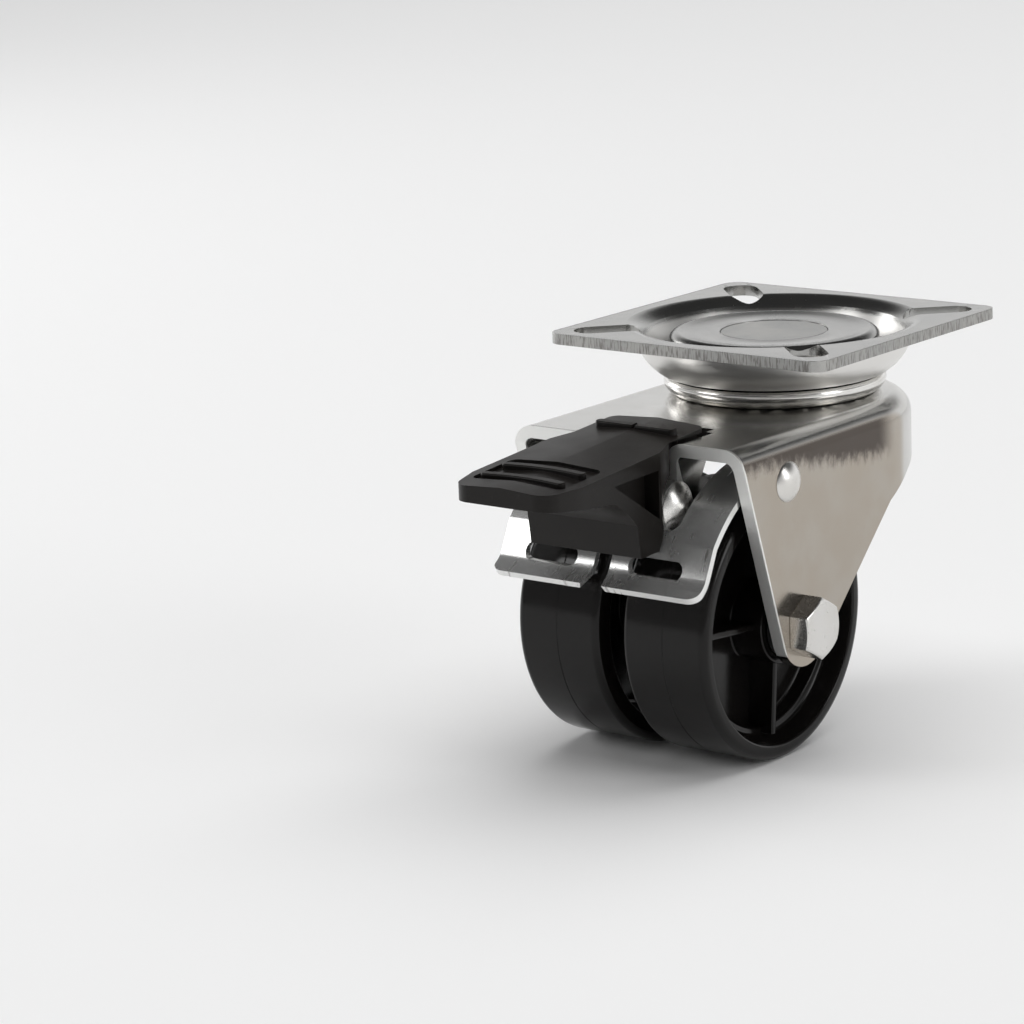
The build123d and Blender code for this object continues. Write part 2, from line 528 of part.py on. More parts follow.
def axle_sleeve() -> Part:
    """Tube on the bolt between the legs: the wheels turn on it."""
    tube = rod(SLEEVE_RADIUS, -LEG_IN, LEG_IN, AXLE_Y, AXLE_Z)
    return tube - rod(BOLT_RADIUS + SEAT, -LEG_IN, LEG_IN, AXLE_Y, AXLE_Z)


def axle_ring(outer: float, x_low: float, x_high: float) -> Part:
    """Plain ring on the axle sleeve."""
    ring = rod(outer, x_low, x_high, AXLE_Y, AXLE_Z)
    return ring - rod(SLEEVE_RADIUS + SEAT, x_low, x_high, AXLE_Y, AXLE_Z)


def end_washers() -> Compound:
    """Two plastic washers that keep the wheels off the legs."""
    low, high = WHEEL_OUT + RACE_GAP, LEG_IN
    right = axle_ring(END_WASHER_RADIUS, low, high)
    return Compound(children=[right, mirror(right, Plane.YZ)])


# ------------------------------------------------------------------ brake pedal
def crease_height(y: float) -> float:
    """Height of the pedal's centre crease at y."""
    return PEDAL_TOP + PEDAL_SLOPE * (y + HEEL_REACH)


def pedal_plan() -> Part:
    """Plan outline of the pedal, as a tall prism."""
    w, heel = PEDAL_HALF_WIDTH, HEEL_HALF_WIDTH
    right = [(TOE_HALF_WIDTH, -TOE_REACH), (w, -TOE_REACH + TOE_TAPER), (w, -FORK_FRONT - CHEEK_START),
             (heel, -FORK_FRONT - CHEEK_END), (heel, -HEEL_REACH)]
    outline = right + [(-x, y) for x, y in reversed(right)]
    face = make_face(Polyline(*outline, close=True))
    toes = [v for v in face.vertices() if v.Y < -TOE_REACH + 0.1]
    face = fillet(toes, TOE_CORNER)
    heels = [v for v in face.vertices() if v.Y > -HEEL_REACH - 0.1]
    face = fillet(heels, HEEL_CORNER)
    return Pos(0, 0, -OVERALL_HEIGHT) * extrude(face, OVERALL_HEIGHT)


def pedal_body() -> Part:
    """Side view of the toe and block, with the scoop under the toe and the cam's nose."""
    high = 0.0
    toe_bottom = crease_height(-TOE_REACH) - TOE_THICKNESS
    wall = (BLOCK_FRONT - BLOCK_LEAN, BLOCK_BOTTOM + BLOCK_WALL)
    scoop_end = (wall[0] - BLOCK_SCOOP, wall[1] + 0.75 * BLOCK_SCOOP)
    scoop_mid = (wall[0] - SCOOP_BELLY * BLOCK_SCOOP, wall[1] + SCOOP_BELLY * BLOCK_SCOOP)
    join = radians(180 + CAM_JOIN_ANGLE)
    boss = (PEDAL_PIVOT[0] + PEDAL_BOSS_RADIUS * cos(join), PEDAL_PIVOT[1] + PEDAL_BOSS_RADIUS * sin(join))
    boss_back = (PEDAL_PIVOT[0] + PEDAL_BOSS_RADIUS, PEDAL_PIVOT[1])
    outline = [
        Line((0, -HEEL_REACH, high), (0, -TOE_REACH, high)),
        Line((0, -TOE_REACH, high), (0, -TOE_REACH, toe_bottom)),
        Line((0, -TOE_REACH, toe_bottom), (0, *scoop_end)),
        ThreePointArc((0, *scoop_end), (0, *scoop_mid), (0, *wall)),
        Line((0, *wall), (0, BLOCK_FRONT, BLOCK_BOTTOM)),
        Line((0, BLOCK_FRONT, BLOCK_BOTTOM), (0, *CAM)),
        Line((0, *CAM), (0, *boss)),
        Line((0, *boss), (0, *PEDAL_PIVOT)),
        Line((0, *PEDAL_PIVOT), (0, *boss_back)),
        Line((0, *boss_back), (0, -HEEL_REACH, CROWN_UNDER)),
        Line((0, -HEEL_REACH, CROWN_UNDER), (0, -HEEL_REACH, high)),
    ]
    body = side_plate(make_face(Wire(outline)), -PEDAL_HALF_WIDTH, PEDAL_HALF_WIDTH)
    return body + rod(PEDAL_BOSS_RADIUS, -PEDAL_CORE, PEDAL_CORE, *PEDAL_PIVOT)


def above_crease(side: int) -> Part:
    """Half-space over one slope of the pedal's roof."""
    normal = Vector(side * PEDAL_ROOF, -PEDAL_SLOPE, 1)
    along = Vector(0, 1, PEDAL_SLOPE)
    place = Plane(origin=(0, -HEEL_REACH, PEDAL_TOP), x_dir=along, z_dir=normal)
    return place * Pos(0, 0, OVERALL_HEIGHT / 2) * Box(3 * TOE_REACH, 2 * TOE_REACH, OVERALL_HEIGHT)


def grip_recess() -> Part:
    """Shallow recess in the toe's top, parallel to both of its slopes."""
    middle = -TOE_REACH + GRIP_START + GRIP_LENGTH / 2
    place = Plane(origin=(0, middle, crease_height(middle)), x_dir=(1, 0, 0), z_dir=(0, -PEDAL_SLOPE, 1))
    plan = place * extrude(RectangleRounded(GRIP_WIDTH, GRIP_LENGTH, GRIP_CORNER), 2 * GRIP_DEPTH, both=True)
    floor = Pos(0, 0, -GRIP_DEPTH) * (above_crease(1) + above_crease(-1))
    return plan & floor


def grip_bar(y: float, half_length: float, width: float, height: float, bow: float) -> Part:
    """Raised bar across the pedal's top, its ends swept back by bow."""
    place = Plane(origin=(0, y, crease_height(y)), x_dir=(1, 0, 0), z_dir=(0, -PEDAL_SLOPE, 1))
    if bow:
        bar_plan = SlotArc(ThreePointArc((-half_length, -bow), (0, 0), (half_length, -bow)), width)
    else:
        bar_plan = SlotCenterToCenter(2 * half_length, width)
    bar = place * Pos(0, 0, -BAR_ROOT) * extrude(bar_plan, BAR_ROOT + height)
    top = bar.faces().sort_by(Axis.Z)[-1]
    return fillet(top.edges(), BAR_ROUND)


def brake_pedal() -> Part:
    """Moulded pedal: grip toe, roofed arm, hollowed cheeks and a boss between the ears."""
    body = pedal_body() & (pedal_plan() + rod(PEDAL_BOSS_RADIUS, -PEDAL_CORE, PEDAL_CORE, *PEDAL_PIVOT))
    for side in (-1, 1):
        body -= above_crease(side)
    pocket = EAR_LOBE_RADIUS + EAR_POCKET_GAP
    wide = PEDAL_HALF_WIDTH + 1
    back = -HEEL_REACH + 1
    beside_ear = yz_polygon([
        (-FORK_FRONT - EAR_POCKET_GAP, CROWN_TOP + TOUCH), (back, CROWN_TOP + TOUCH),
        (back, -OVERALL_HEIGHT), (-FORK_FRONT - EAR_POCKET_GAP, -OVERALL_HEIGHT),
    ])
    dent = yz_polygon([
        (-FORK_FRONT - DENT_REACH, CROWN_UNDER - DENT_TIP), (-FORK_FRONT - DENT_BACK, CROWN_UNDER - DENT_TOP),
        (-FORK_FRONT - DENT_BACK, CROWN_UNDER - DENT_FOOT),
    ])
    for side in (-1, 1):
        low, high = sorted((side * PEDAL_CORE, side * wide))
        body -= rod(pocket, low, high, *PEDAL_PIVOT)
        body -= side_plate(beside_ear, low, high)
        low, high = sorted((side * (PEDAL_HALF_WIDTH - DENT_DEPTH), side * wide))
        body -= side_plate(dent, low, high)
    half_slot = SPRING_SLOT / 2
    body -= rod(PEDAL_BOSS_RADIUS + TOUCH, -half_slot, half_slot, *PEDAL_PIVOT)
    body -= rod(PIVOT_RADIUS + RUN, -PEDAL_CORE - 1, PEDAL_CORE + 1, *PEDAL_PIVOT)
    body -= grip_recess()
    for place in GRIP_RIBS:
        body += grip_bar(-TOE_REACH + place, *GRIP_RIB, 0.0, 0.8)
    bar = grip_bar(-HEEL_REACH - HEEL_BAR, 7.7, 1.9, HEEL_BAR_RISE, 0.0)
    split = Pos(0, -HEEL_REACH - HEEL_BAR, PEDAL_TOP) * Box(0.7, HEEL_BAR, 2 * HEEL_BAR_RISE)
    return body + (bar - split)


def pedal_pin() -> Part:
    """Rivet through both ears: a dome on the right, peened on the left."""
    pin = rod(PIVOT_RADIUS, -EAR_OUT - 0.2, EAR_OUT + 0.2, *PEDAL_PIVOT)
    pin += dome_head(PIVOT_HEAD_RADIUS, PIVOT_HEAD_HEIGHT, EAR_OUT, 1, *PEDAL_PIVOT)
    return pin + dome_head(0.85 * PIVOT_HEAD_RADIUS, 0.7 * PIVOT_HEAD_HEIGHT, -EAR_OUT, -1, *PEDAL_PIVOT)


def pedal_spring() -> Part:
    """Wire spring wound on the pedal's pin, in the slot of its boss."""
    coil_radius = PIVOT_RADIUS + 2 * RUN + SPRING_WIRE / 2
    pitch = SPRING_WIRE + 0.15
    start = -pitch * SPRING_TURNS / 2
    helix = Helix(pitch, pitch * SPRING_TURNS, coil_radius)
    path = Pos(start, *PEDAL_PIVOT) * Rot(0, 90, 0) * helix
    section = Plane(origin=path @ 0, z_dir=path % 0) * Circle(SPRING_WIRE / 2)
    return sweep(section, path)


# ------------------------------------------------------------------ brake leaf
def beside(point: tuple, angle: float, distance: float) -> tuple:
    """The (y, z) point at a distance to the left of one that looks along angle, in radians."""
    return (point[0] - distance * sin(angle), point[1] + distance * cos(angle))


def leaf_sheet() -> Part:
    """The leaf's bent sheet over its full width, before it is cut."""
    t = LEAF_SHEET
    halfway = (LEAF_REAR_ANGLE + LEAF_CORNER_ANGLE) / 2
    apron = atan2(-APRON_DROP, -APRON_REACH)
    lip = atan2(-LIP_DROP, -LIP_REACH)
    start = around_axle(LEAF_RADIUS, LEAF_REAR_ANGLE)
    start_in = around_axle(LEAF_RADIUS - t, LEAF_REAR_ANGLE)
    under_corner = beside(LEAF_CORNER, apron, t)
    off_axle = hypot(under_corner[0] - AXLE_Y, under_corner[1] - AXLE_Z)
    inwards = (LEAF_RADIUS - t) / off_axle
    corner_in = (AXLE_Y + (under_corner[0] - AXLE_Y) * inwards, AXLE_Z + (under_corner[1] - AXLE_Z) * inwards)
    foot_in = beside(APRON_FOOT, (apron + lip) / 2, t / cos((lip - apron) / 2))
    tip_in = beside(LIP_TIP, lip, t)
    edge = [
        ThreePointArc((0, *start), (0, *around_axle(LEAF_RADIUS, halfway)), (0, *LEAF_CORNER)),
        Line((0, *LEAF_CORNER), (0, *APRON_FOOT)),
        Line((0, *APRON_FOOT), (0, *LIP_TIP)),
        Line((0, *LIP_TIP), (0, *tip_in)),
        Line((0, *tip_in), (0, *foot_in)),
        Line((0, *foot_in), (0, *corner_in)),
        ThreePointArc((0, *corner_in), (0, *around_axle(LEAF_RADIUS - t, halfway)), (0, *start_in)),
        Line((0, *start_in), (0, *start)),
    ]
    return side_plate(make_face(Wire(edge)), -LEAF_OUT, LEAF_OUT)


def brake_leaf() -> Part:
    """Bent sheet over both wheels, hung on two side tabs, with slots and a slit in its apron."""
    leaf = leaf_sheet()
    reach = 2 * LEAF_RADIUS
    window = Box(2 * LEAF_WINDOW, reach, LEAF_RADIUS)
    leaf -= Pos(0, LEAF_CORNER[0] + LEAF_BAND + reach / 2, AXLE_Z + LEAF_RADIUS) * window
    slit = Box(LEAF_SLIT, reach, LEAF_RADIUS)
    leaf -= Pos(0, LEAF_CORNER[0], LEAF_CORNER[1] - LEAF_SLIT_DROP - LEAF_RADIUS / 2) * slit
    mid_sheet = LEAF_RADIUS - LEAF_SHEET / 2
    arm = [around_axle(mid_sheet, LEAF_REAR_ANGLE - 1 - TAB_SWEEP * n / 3) for n in range(4)]
    pivot_y, pivot_z = LEAF_PIVOT
    tab = yz_polygon(arm + [
        (pivot_y - TAB_FRONT, pivot_z - TAB_CORNER_DROP),
        (pivot_y - TAB_WAIST, pivot_z - LEAF_LOBE_RADIUS + TOUCH),
        LEAF_PIVOT, (pivot_y + LEAF_LOBE_RADIUS, pivot_z),
    ])
    lobe = Plane(origin=(0, *LEAF_PIVOT), x_dir=(0, 1, 0), z_dir=(1, 0, 0)) * Circle(LEAF_LOBE_RADIUS)
    slot_z = LEAF_CORNER[1] - LEAF_SLOT_DROP
    for side in (-1, 1):
        slot = Plane(origin=(side * LEAF_SLOT_MIDDLE, LIP_TIP[0], slot_z), x_dir=(1, 0, 0), z_dir=(0, 1, 0))
        leaf -= extrude(slot * SlotOverall(LEAF_SLOT_LENGTH, LEAF_SLOT_HEIGHT), LEAF_RADIUS)
        low, high = sorted((side * LEAF_IN, side * LEAF_OUT))
        leaf += side_plate(tab + lobe, low, high)
    return leaf - rod(LEAF_PIVOT_RADIUS + RUN, -LEG_OUT, LEG_OUT, *LEAF_PIVOT)


def leaf_rivets() -> Compound:
    """Two rivets that hang the leaf on the legs, dome outside and peened inside."""
    rivets = []
    for side in (-1, 1):
        low, high = sorted((side * (LEAF_IN - 0.1), side * (LEG_OUT + 0.2)))
        rivet = rod(LEAF_PIVOT_RADIUS, low, high, *LEAF_PIVOT)
        rivet += dome_head(LEAF_HEAD_RADIUS, LEAF_HEAD_HEIGHT, side * LEG_OUT, side, *LEAF_PIVOT)
        rivets.append(rivet)
    return Compound(children=rivets)


def leaf_washers() -> Compound:
    """Thin washers on the leaf's rivets, between its tabs and the legs."""
    washers = []
    for side in (-1, 1):
        low, high = sorted((side * (LEAF_OUT + SIDE_GAP / 4), side * LEG_IN))
        disc = rod(0.95 * LEAF_HEAD_RADIUS, low, high, *LEAF_PIVOT)
        washers.append(disc - rod(LEAF_PIVOT_RADIUS + SEAT, low, high, *LEAF_PIVOT))
    return Compound(children=washers)


def pieces() -> dict:
    """Every separate piece of the caster by its node name."""
    upper = DOME_UNDER - BALL_GAP - UPPER_BALL / 2
    lower = BOSS_UNDER - BALL_GAP - LOWER_BALL / 2
    return {
        "top_plate": top_plate(),
        "kingpin": kingpin(),
        "upper_balls": ball_ring(UPPER_BALL, UPPER_BALL_CIRCLE, UPPER_BALL_COUNT, upper),
        "lower_balls": ball_ring(LOWER_BALL, LOWER_BALL_CIRCLE, LOWER_BALL_COUNT, lower),
        "lower_cup": lower_cup(),
        "race_ring": race_ring(),
        "fork": fork(),
        "wheel_left": wheel(-1),
        "wheel_right": wheel(1),
        "axle_bolt": axle_bolt(),
        "axle_nut": axle_nut(),
        "nut_insert": nut_insert(),
        "axle_sleeve": axle_sleeve(),
        "wheel_spacer": axle_ring(HUB_RADIUS, -WHEEL_IN + RACE_GAP, WHEEL_IN - RACE_GAP),
        "end_washers": end_washers(),
        "brake_pedal": brake_pedal(),
        "pedal_pin": pedal_pin(),
        "pedal_spring": pedal_spring(),
        "brake_leaf": brake_leaf(),
        "leaf_rivets": leaf_rivets(),
        "leaf_washers": leaf_washers(),
    }


os.makedirs("parts", exist_ok=True)
for name, piece in pieces().items():
    export_step(piece, f"parts/{name}.step")
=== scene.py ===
"""Looks of a low twin-wheel plate caster with a foot brake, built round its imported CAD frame.

Metres, +Z up. The origin is the middle of the top plate's mounting face, on the swivel axis.
The wheels' axle runs along X, and the pedal reaches towards -Y.
"""

import json
import logging
import math
from dataclasses import dataclass
from enum import Enum
from typing import Callable, Sequence

import bmesh
import bpy
from mathutils import Matrix, Vector


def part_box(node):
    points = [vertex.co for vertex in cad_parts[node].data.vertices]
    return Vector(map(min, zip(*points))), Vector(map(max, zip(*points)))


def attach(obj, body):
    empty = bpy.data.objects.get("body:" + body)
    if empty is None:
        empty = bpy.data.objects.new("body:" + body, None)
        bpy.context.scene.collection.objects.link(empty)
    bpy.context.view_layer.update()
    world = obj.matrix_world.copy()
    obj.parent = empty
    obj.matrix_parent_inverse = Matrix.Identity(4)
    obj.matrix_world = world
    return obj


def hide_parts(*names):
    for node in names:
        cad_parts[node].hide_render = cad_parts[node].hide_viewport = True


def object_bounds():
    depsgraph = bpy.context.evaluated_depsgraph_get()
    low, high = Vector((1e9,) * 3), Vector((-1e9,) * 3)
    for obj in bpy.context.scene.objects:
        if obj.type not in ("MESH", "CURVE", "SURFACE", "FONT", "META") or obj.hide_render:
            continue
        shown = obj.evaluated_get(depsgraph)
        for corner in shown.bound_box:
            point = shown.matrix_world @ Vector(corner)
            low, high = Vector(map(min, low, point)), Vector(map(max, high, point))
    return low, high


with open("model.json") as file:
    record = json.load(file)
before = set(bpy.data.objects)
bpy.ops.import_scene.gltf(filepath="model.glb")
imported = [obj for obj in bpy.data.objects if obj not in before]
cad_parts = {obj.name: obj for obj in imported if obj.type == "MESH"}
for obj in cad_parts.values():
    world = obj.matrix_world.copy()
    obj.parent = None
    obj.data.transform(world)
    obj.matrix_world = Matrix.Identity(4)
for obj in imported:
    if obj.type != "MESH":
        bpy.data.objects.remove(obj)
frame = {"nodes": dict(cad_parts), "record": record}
CAD_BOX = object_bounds()

log = logging.getLogger("caster")
MM = 0.001
TAU = 2 * math.pi
Colour = tuple[float, float, float]
Corner = tuple[float, float, float]


# ---------------------------------------------------------------------------------- shader maths
class Value:
    """A node's socket that takes part in arithmetic."""

    def __init__(self, graph: "Graph", socket: bpy.types.NodeSocket) -> None:
        """Keep the socket and the graph that new nodes go into."""
        self.graph = graph
        self.socket = socket

    def _math(self, operation: str, *others: "Value | float") -> "Value":
        """Add a Math node with this value first.

        Args:
            operation: the Math node's operation.
            others: the values or numbers of its other sockets.

        Returns:
            The node's result.
        """
        return self.graph.math(operation, self, *others)

    def __add__(self, other: "Value | float") -> "Value":
        """Sum."""
        return self._math("ADD", other)

    __radd__ = __add__

    def __sub__(self, other: "Value | float") -> "Value":
        """Difference."""
        return self._math("SUBTRACT", other)

    def __rsub__(self, other: "Value | float") -> "Value":
        """Difference with the number first."""
        return self.graph.math("SUBTRACT", other, self)

    def __mul__(self, other: "Value | float") -> "Value":
        """Product."""
        return self._math("MULTIPLY", other)

    __rmul__ = __mul__

    def __pow__(self, other: "Value | float") -> "Value":
        """Power."""
        return self._math("POWER", other)

    def clamp(self) -> "Value":
        """The value held between 0 and 1."""
        return self._math("MAXIMUM", 0.0)._math("MINIMUM", 1.0)

    def step(self, low: float, high: float) -> "Value":
        """Smooth rise from 0 at low to 1 at high.

        Args:
            low: where the rise starts.
            high: where it ends; below low, the value falls instead.

        Returns:
            A value between 0 and 1.
        """
        settings = {"interpolation_type": "SMOOTHSTEP"}
        sockets = {"Value": self, "From Min": low, "From Max": high, "To Min": 0.0, "To Max": 1.0}
        if high < low:
            sockets.update({"From Min": high, "From Max": low, "To Min": 1.0, "To Max": 0.0})
        return self.graph.node("ShaderNodeMapRange", settings, sockets, "Result")


class Graph:
    """The node tree of a material or of the world."""

    def __init__(self, owner: bpy.types.Material | bpy.types.World) -> None:
        """Start with an empty tree.

        Args:
            owner: the material or world that the tree belongs to.
        """
        self.owner = owner
        owner.use_nodes = True
        self.tree = owner.node_tree
        self.tree.nodes.clear()

    @classmethod
    def material(cls, name: str) -> "Graph":
        """Start a new material's tree."""
        return cls(bpy.data.materials.new(name))

    def node(self, kind: str, settings: dict | None = None, sockets: dict | None = None,
             output: str | int = 0) -> Value:
        """Add one node.

        Args:
            kind: the node's type.
            settings: its properties, set first.
            sockets: values or links of its inputs, by name or number.
            output: which output to return.

        Returns:
            The chosen output.
        """
        made = self.tree.nodes.new(kind)
        for key, setting in (settings or {}).items():
            setattr(made, key, setting)
        for key, value in (sockets or {}).items():
            if isinstance(value, Value):
                self.tree.links.new(value.socket, made.inputs[key])
            else:
                made.inputs[key].default_value = value
        return Value(self, made.outputs[output])

    def math(self, operation: str, *values: Value | float) -> Value:
        """Add a Math node.

        Args:
            operation: its operation.
            values: values or numbers of its sockets in order.

        Returns:
            Its result.
        """
        return self.node("ShaderNodeMath", {"operation": operation}, dict(enumerate(values)))

    def place(self) -> Value:
        """Object coordinates, in metres."""
        return self.node("ShaderNodeTexCoord", output="Object")

    def axes(self) -> tuple[Value, Value, Value]:
        """Split the object coordinates.

        Returns:
            X, Y and Z in millimetres.
        """
        split = self.node("ShaderNodeSeparateXYZ", None, {0: self.place()})
        outputs = split.socket.node.outputs
        return tuple(Value(self, outputs[n]) * 1000.0 for n in range(3))

    def noise(self, size: float, detail: float = 2.0, stretch: Sequence[float] = (1, 1, 1),
              roughness: float = 0.5, at: Value | None = None) -> Value:
        """Noise of about the given feature size.

        Args:
            size: feature size in millimetres.
            detail: octaves.
            stretch: how much longer the features are along X, Y and Z.
            roughness: weight of the finer octaves.
            at: coordinates, or None for object coordinates.

        Returns:
            A value about 0.5.
        """
        scale = tuple(1.0 / (size * MM * s) for s in stretch)
        spread = self.node("ShaderNodeMapping", None, {"Vector": at or self.place(), "Scale": scale})
        return self.node("ShaderNodeTexNoise", None,
                         {"Vector": spread, "Scale": 1.0, "Detail": detail, "Roughness": roughness})

    def mix(self, mask: Value | float, low: Value | Colour, high: Value | Colour) -> Value:
        """Colour between low and high.

        Args:
            mask: 0 gives low and 1 gives high.
            low: a colour.
            high: a colour.

        Returns:
            The mixed colour.
        """
        ends = [end if isinstance(end, Value) else (*end, 1.0) for end in (low, high)]
        return self.node("ShaderNodeMix", {"data_type": "RGBA"}, {"Factor": mask, 6: ends[0], 7: ends[1]}, 2)

    def bump(self, height: Value, depth: float, below: Value | None = None) -> Value:
        """Normal bent by a height.

        Args:
            height: a value between 0 and 1.
            depth: the height's size in millimetres.
            below: a normal that this one adds to.

        Returns:
            A normal.
        """
        sockets = {"Height": height, "Strength": 1.0, "Distance": depth * MM}
        if below is not None:
            sockets["Normal"] = below
        return self.node("ShaderNodeBump", None, sockets)

    def shade(self, **sockets: Value | float | Colour) -> bpy.types.Material:
        """Add the Principled shader and finish the material.

        Args:
            sockets: its inputs, with underscores for spaces.

        Returns:
            The material.
        """
        named = {}
        for key, value in sockets.items():
            named[key.replace("_", " ")] = (*value, 1.0) if isinstance(value, tuple) else value
        shader = self.node("ShaderNodeBsdfPrincipled", None, named)
        end = self.tree.nodes.new("ShaderNodeOutputMaterial")
        self.tree.links.new(shader.socket, end.inputs["Surface"])
        return self.owner


# ---------------------------------------------------------------------------------- finishes
@dataclass(frozen=True)
class Plating:
    """Zinc or nickel plate on pressed steel: satin or bright, with rolling grain and light handling marks."""

    name: str
    colour: Colour
    roughness: float
    spread: float = 0.08
    grain: tuple[float, float, float] = (1.0, 1.0, 1.0)
    grain_depth: float = 0.002
    waviness: float = 0.0
    tint: Colour = (0.62, 0.60, 0.56)

    def satin(self, fine: Value) -> Value:
        """Roughness that the fine grain spreads about its middle."""
        return fine * self.spread + (self.roughness - self.spread / 2)

    def build(self) -> bpy.types.Material:
        """Make the material.

        Returns:
            The material, ready for a piece's slot.
        """
        g = Graph.material(self.name)
        cloud = g.noise(9.0, 3.0)
        fine = g.noise(0.22, 3.0, self.grain)
        marks = g.noise(0.9, 5.0, roughness=0.65).step(0.58, 0.72)
        colour = g.mix(cloud.step(0.35, 0.75) * 0.6 + marks * 0.25, self.colour, self.tint)
        rough = self.satin(fine) + marks * 0.06 + cloud * 0.04
        normal = g.bump(fine, self.grain_depth)
        return g.shade(Base_Color=colour, Metallic=1.0, Roughness=rough.clamp(), Normal=normal)


@dataclass(frozen=True)
class SheetPlating(Plating):
    """Plate on the blanked and deep-pressed sheet: a bowl tinted lighter as a painted sheen and made rougher,
    and the shear's upright scores on the cut rim.
    """

    rim: float = 29.75
    rim_blend: float = 0.15
    score_size: float = 0.28
    score_length: float = 9.0
    score_depth: float = 0.10
    score_share: float = 0.8
    bowl_top: float = -1.9
    bowl_blend: float = 0.8
    bowl_radius: float = 19.6
    bowl_roughness: float = 0.16
    # painted sheen: a lighter colour that the bowl takes in place of the bright reflections it does not catch
    bowl_sheen_colour: Colour = (0.78, 0.77, 0.75)
    scored: Colour = (0.20, 0.19, 0.18)

    def build(self) -> bpy.types.Material:
        """Make the material.

        Returns:
            The material, ready for a piece's slot.
        """
        g = Graph.material(self.name)
        x, y, z = g.axes()
        away = (x * x + y * y) ** 0.5
        side = g.math("MAXIMUM", g.math("ABSOLUTE", x), g.math("ABSOLUTE", y))
        cut = side.step(self.rim, self.rim + self.rim_blend)
        scores = g.noise(self.score_size, 3.0, (1, 1, self.score_length), 0.6)
        cloud = g.noise(9.0, 3.0)
        fine = g.noise(0.22, 3.0, self.grain)
        speck = g.noise(1.3, 5.0, roughness=0.65).step(0.56, 0.72)
        bowl = z.step(self.bowl_top, self.bowl_top - self.bowl_blend)
        bowl = bowl * side.step(self.rim - 1.0, self.rim - 3.0)
        bowl = bowl * away.step(self.bowl_radius, self.bowl_radius + self.bowl_blend / 2)
        face = g.mix(cloud.step(0.35, 0.75) * 0.6 + speck * 0.3, self.colour, self.tint)
        # painted sheen: the bowl tinted lighter than the rest of the face
        face = g.mix(bowl, face, self.bowl_sheen_colour)
        colour = g.mix(cut * scores.step(0.48, 0.60) * self.score_share, face, self.scored)
        rough = self.satin(fine) + speck * 0.06 + cut * 0.12 + bowl * self.bowl_roughness
        normal = g.bump(fine, self.grain_depth, g.bump(scores * cut, self.score_depth))
        normal = g.bump(g.noise(7.0, 1.0), self.waviness, normal)
        return g.shade(Base_Color=colour, Metallic=1.0, Roughness=rough.clamp(), Normal=normal)


@dataclass(frozen=True)
class ForkPlating(Plating):
    """Plate on the pressed fork: neutral crown, legs painted darker and warmer as painted shade on their side
    faces, a dark band under the bends, and cut edges painted bright as a painted highlight.
    """

    leg: float = 24.2
    leg_blend: float = 0.6
    # painted shade: the legs' side faces take a darker, warmer colour than the crown
    shaded_leg_colour: Colour = (0.43, 0.385, 0.33)
    # colour of the dark band under the bends on the legs, deeper towards the rear
    dark_band: Colour = (0.075, 0.062, 0.055)
    dark_band_share: float = 0.92
    band_top: float = -15.6
    band_depth: float = 1.9
    band_growth: float = 4.6
    band_front: float = -46.0
    band_rear: float = -2.0
    band_end: tuple[float, float] = (2.5, -4.0)
    raggedness: float = 2.6
    front: tuple[float, float] = (-46.6, -16.5)
    front_lean: tuple[float, float] = (0.9505, 0.3106)
    edge_width: float = 0.5
    edge_roughness: float = 0.30
    # painted highlight: the cut front edge is painted near white
    edge_highlight_colour: Colour = (0.90, 0.90, 0.88)

    def dark_band_mask(self, g: Graph, y: Value, z: Value) -> Value:
        """Mask of the band under the bends, deeper towards the rear and ragged below.

        Args:
            g: the material's graph.
            y: the Y coordinate in millimetres.
            z: the Z coordinate in millimetres.

        Returns:
            A value between 0 and 1.
        """
        ragged = g.noise(1.3, 4.0, (1, 1, 2.2), 0.7)
        backward = y.step(self.band_front, self.band_rear)
        low = self.band_top - self.band_depth - backward * self.band_growth
        edge = (z - low) * 0.5 + (ragged - 0.5) * self.raggedness
        below = z.step(self.band_top + 0.5, self.band_top - 0.3)
        return edge.step(-0.7, 1.0) * below * y.step(*self.band_end)

    def cut_edge(self, g: Graph, y: Value, z: Value) -> Value:
        """Mask of the sheet's cut front edge, along the crown and down both legs, where the edge is painted
        bright as a painted highlight.

        Args:
            g: the material's graph.
            y: the Y coordinate in millimetres.
            z: the Z coordinate in millimetres.

        Returns:
            A value between 0 and 1.
        """
        inside = (y - self.front[0]) * self.front_lean[0] + (z - self.front[1]) * self.front_lean[1]
        leg_edge = inside.step(self.edge_width, self.edge_width * 0.6)
        leg_edge = leg_edge * z.step(self.front[1] + 0.7, self.front[1] - 0.3)
        nose = y.step(self.front[0] + self.edge_width, self.front[0] + self.edge_width * 0.6)
        return g.math("MAXIMUM", leg_edge, nose)

    def build(self) -> bpy.types.Material:
        """Make the material.

        Returns:
            The material, ready for a piece's slot.
        """
        g = Graph.material(self.name)
        x, y, z = g.axes()
        leg = g.math("ABSOLUTE", x).step(self.leg, self.leg + self.leg_blend)
        cloud = g.noise(8.0, 4.0, roughness=0.6)
        fine = g.noise(0.3, 3.0, self.grain)
        speck = g.noise(1.1, 5.0, roughness=0.7).step(0.58, 0.72)
        # dark band under the bends, on the legs only
        dark_band = self.dark_band_mask(g, y, z) * leg
        # painted highlight: mask of the cut front edge, which is painted near white
        edge_highlight = self.cut_edge(g, y, z)
        # painted shade: the legs darker and warmer than the crown
        face = g.mix(leg, self.colour, self.shaded_leg_colour)
        face = g.mix(cloud.step(0.35, 0.75) * 0.35 + speck * 0.2, face, self.tint)
        # the cut edge painted near white as a painted highlight, over the dark band
        colour = g.mix(edge_highlight, g.mix(dark_band * self.dark_band_share, face, self.dark_band), self.edge_highlight_colour)
        rough = self.satin(fine) + speck * 0.05 + dark_band * 0.10 + edge_highlight * self.edge_roughness
        normal = g.bump(fine, self.grain_depth, g.bump(g.noise(9.0, 1.0), self.waviness))
        return g.shade(Base_Color=colour, Metallic=1.0, Roughness=rough.clamp(), Normal=normal)


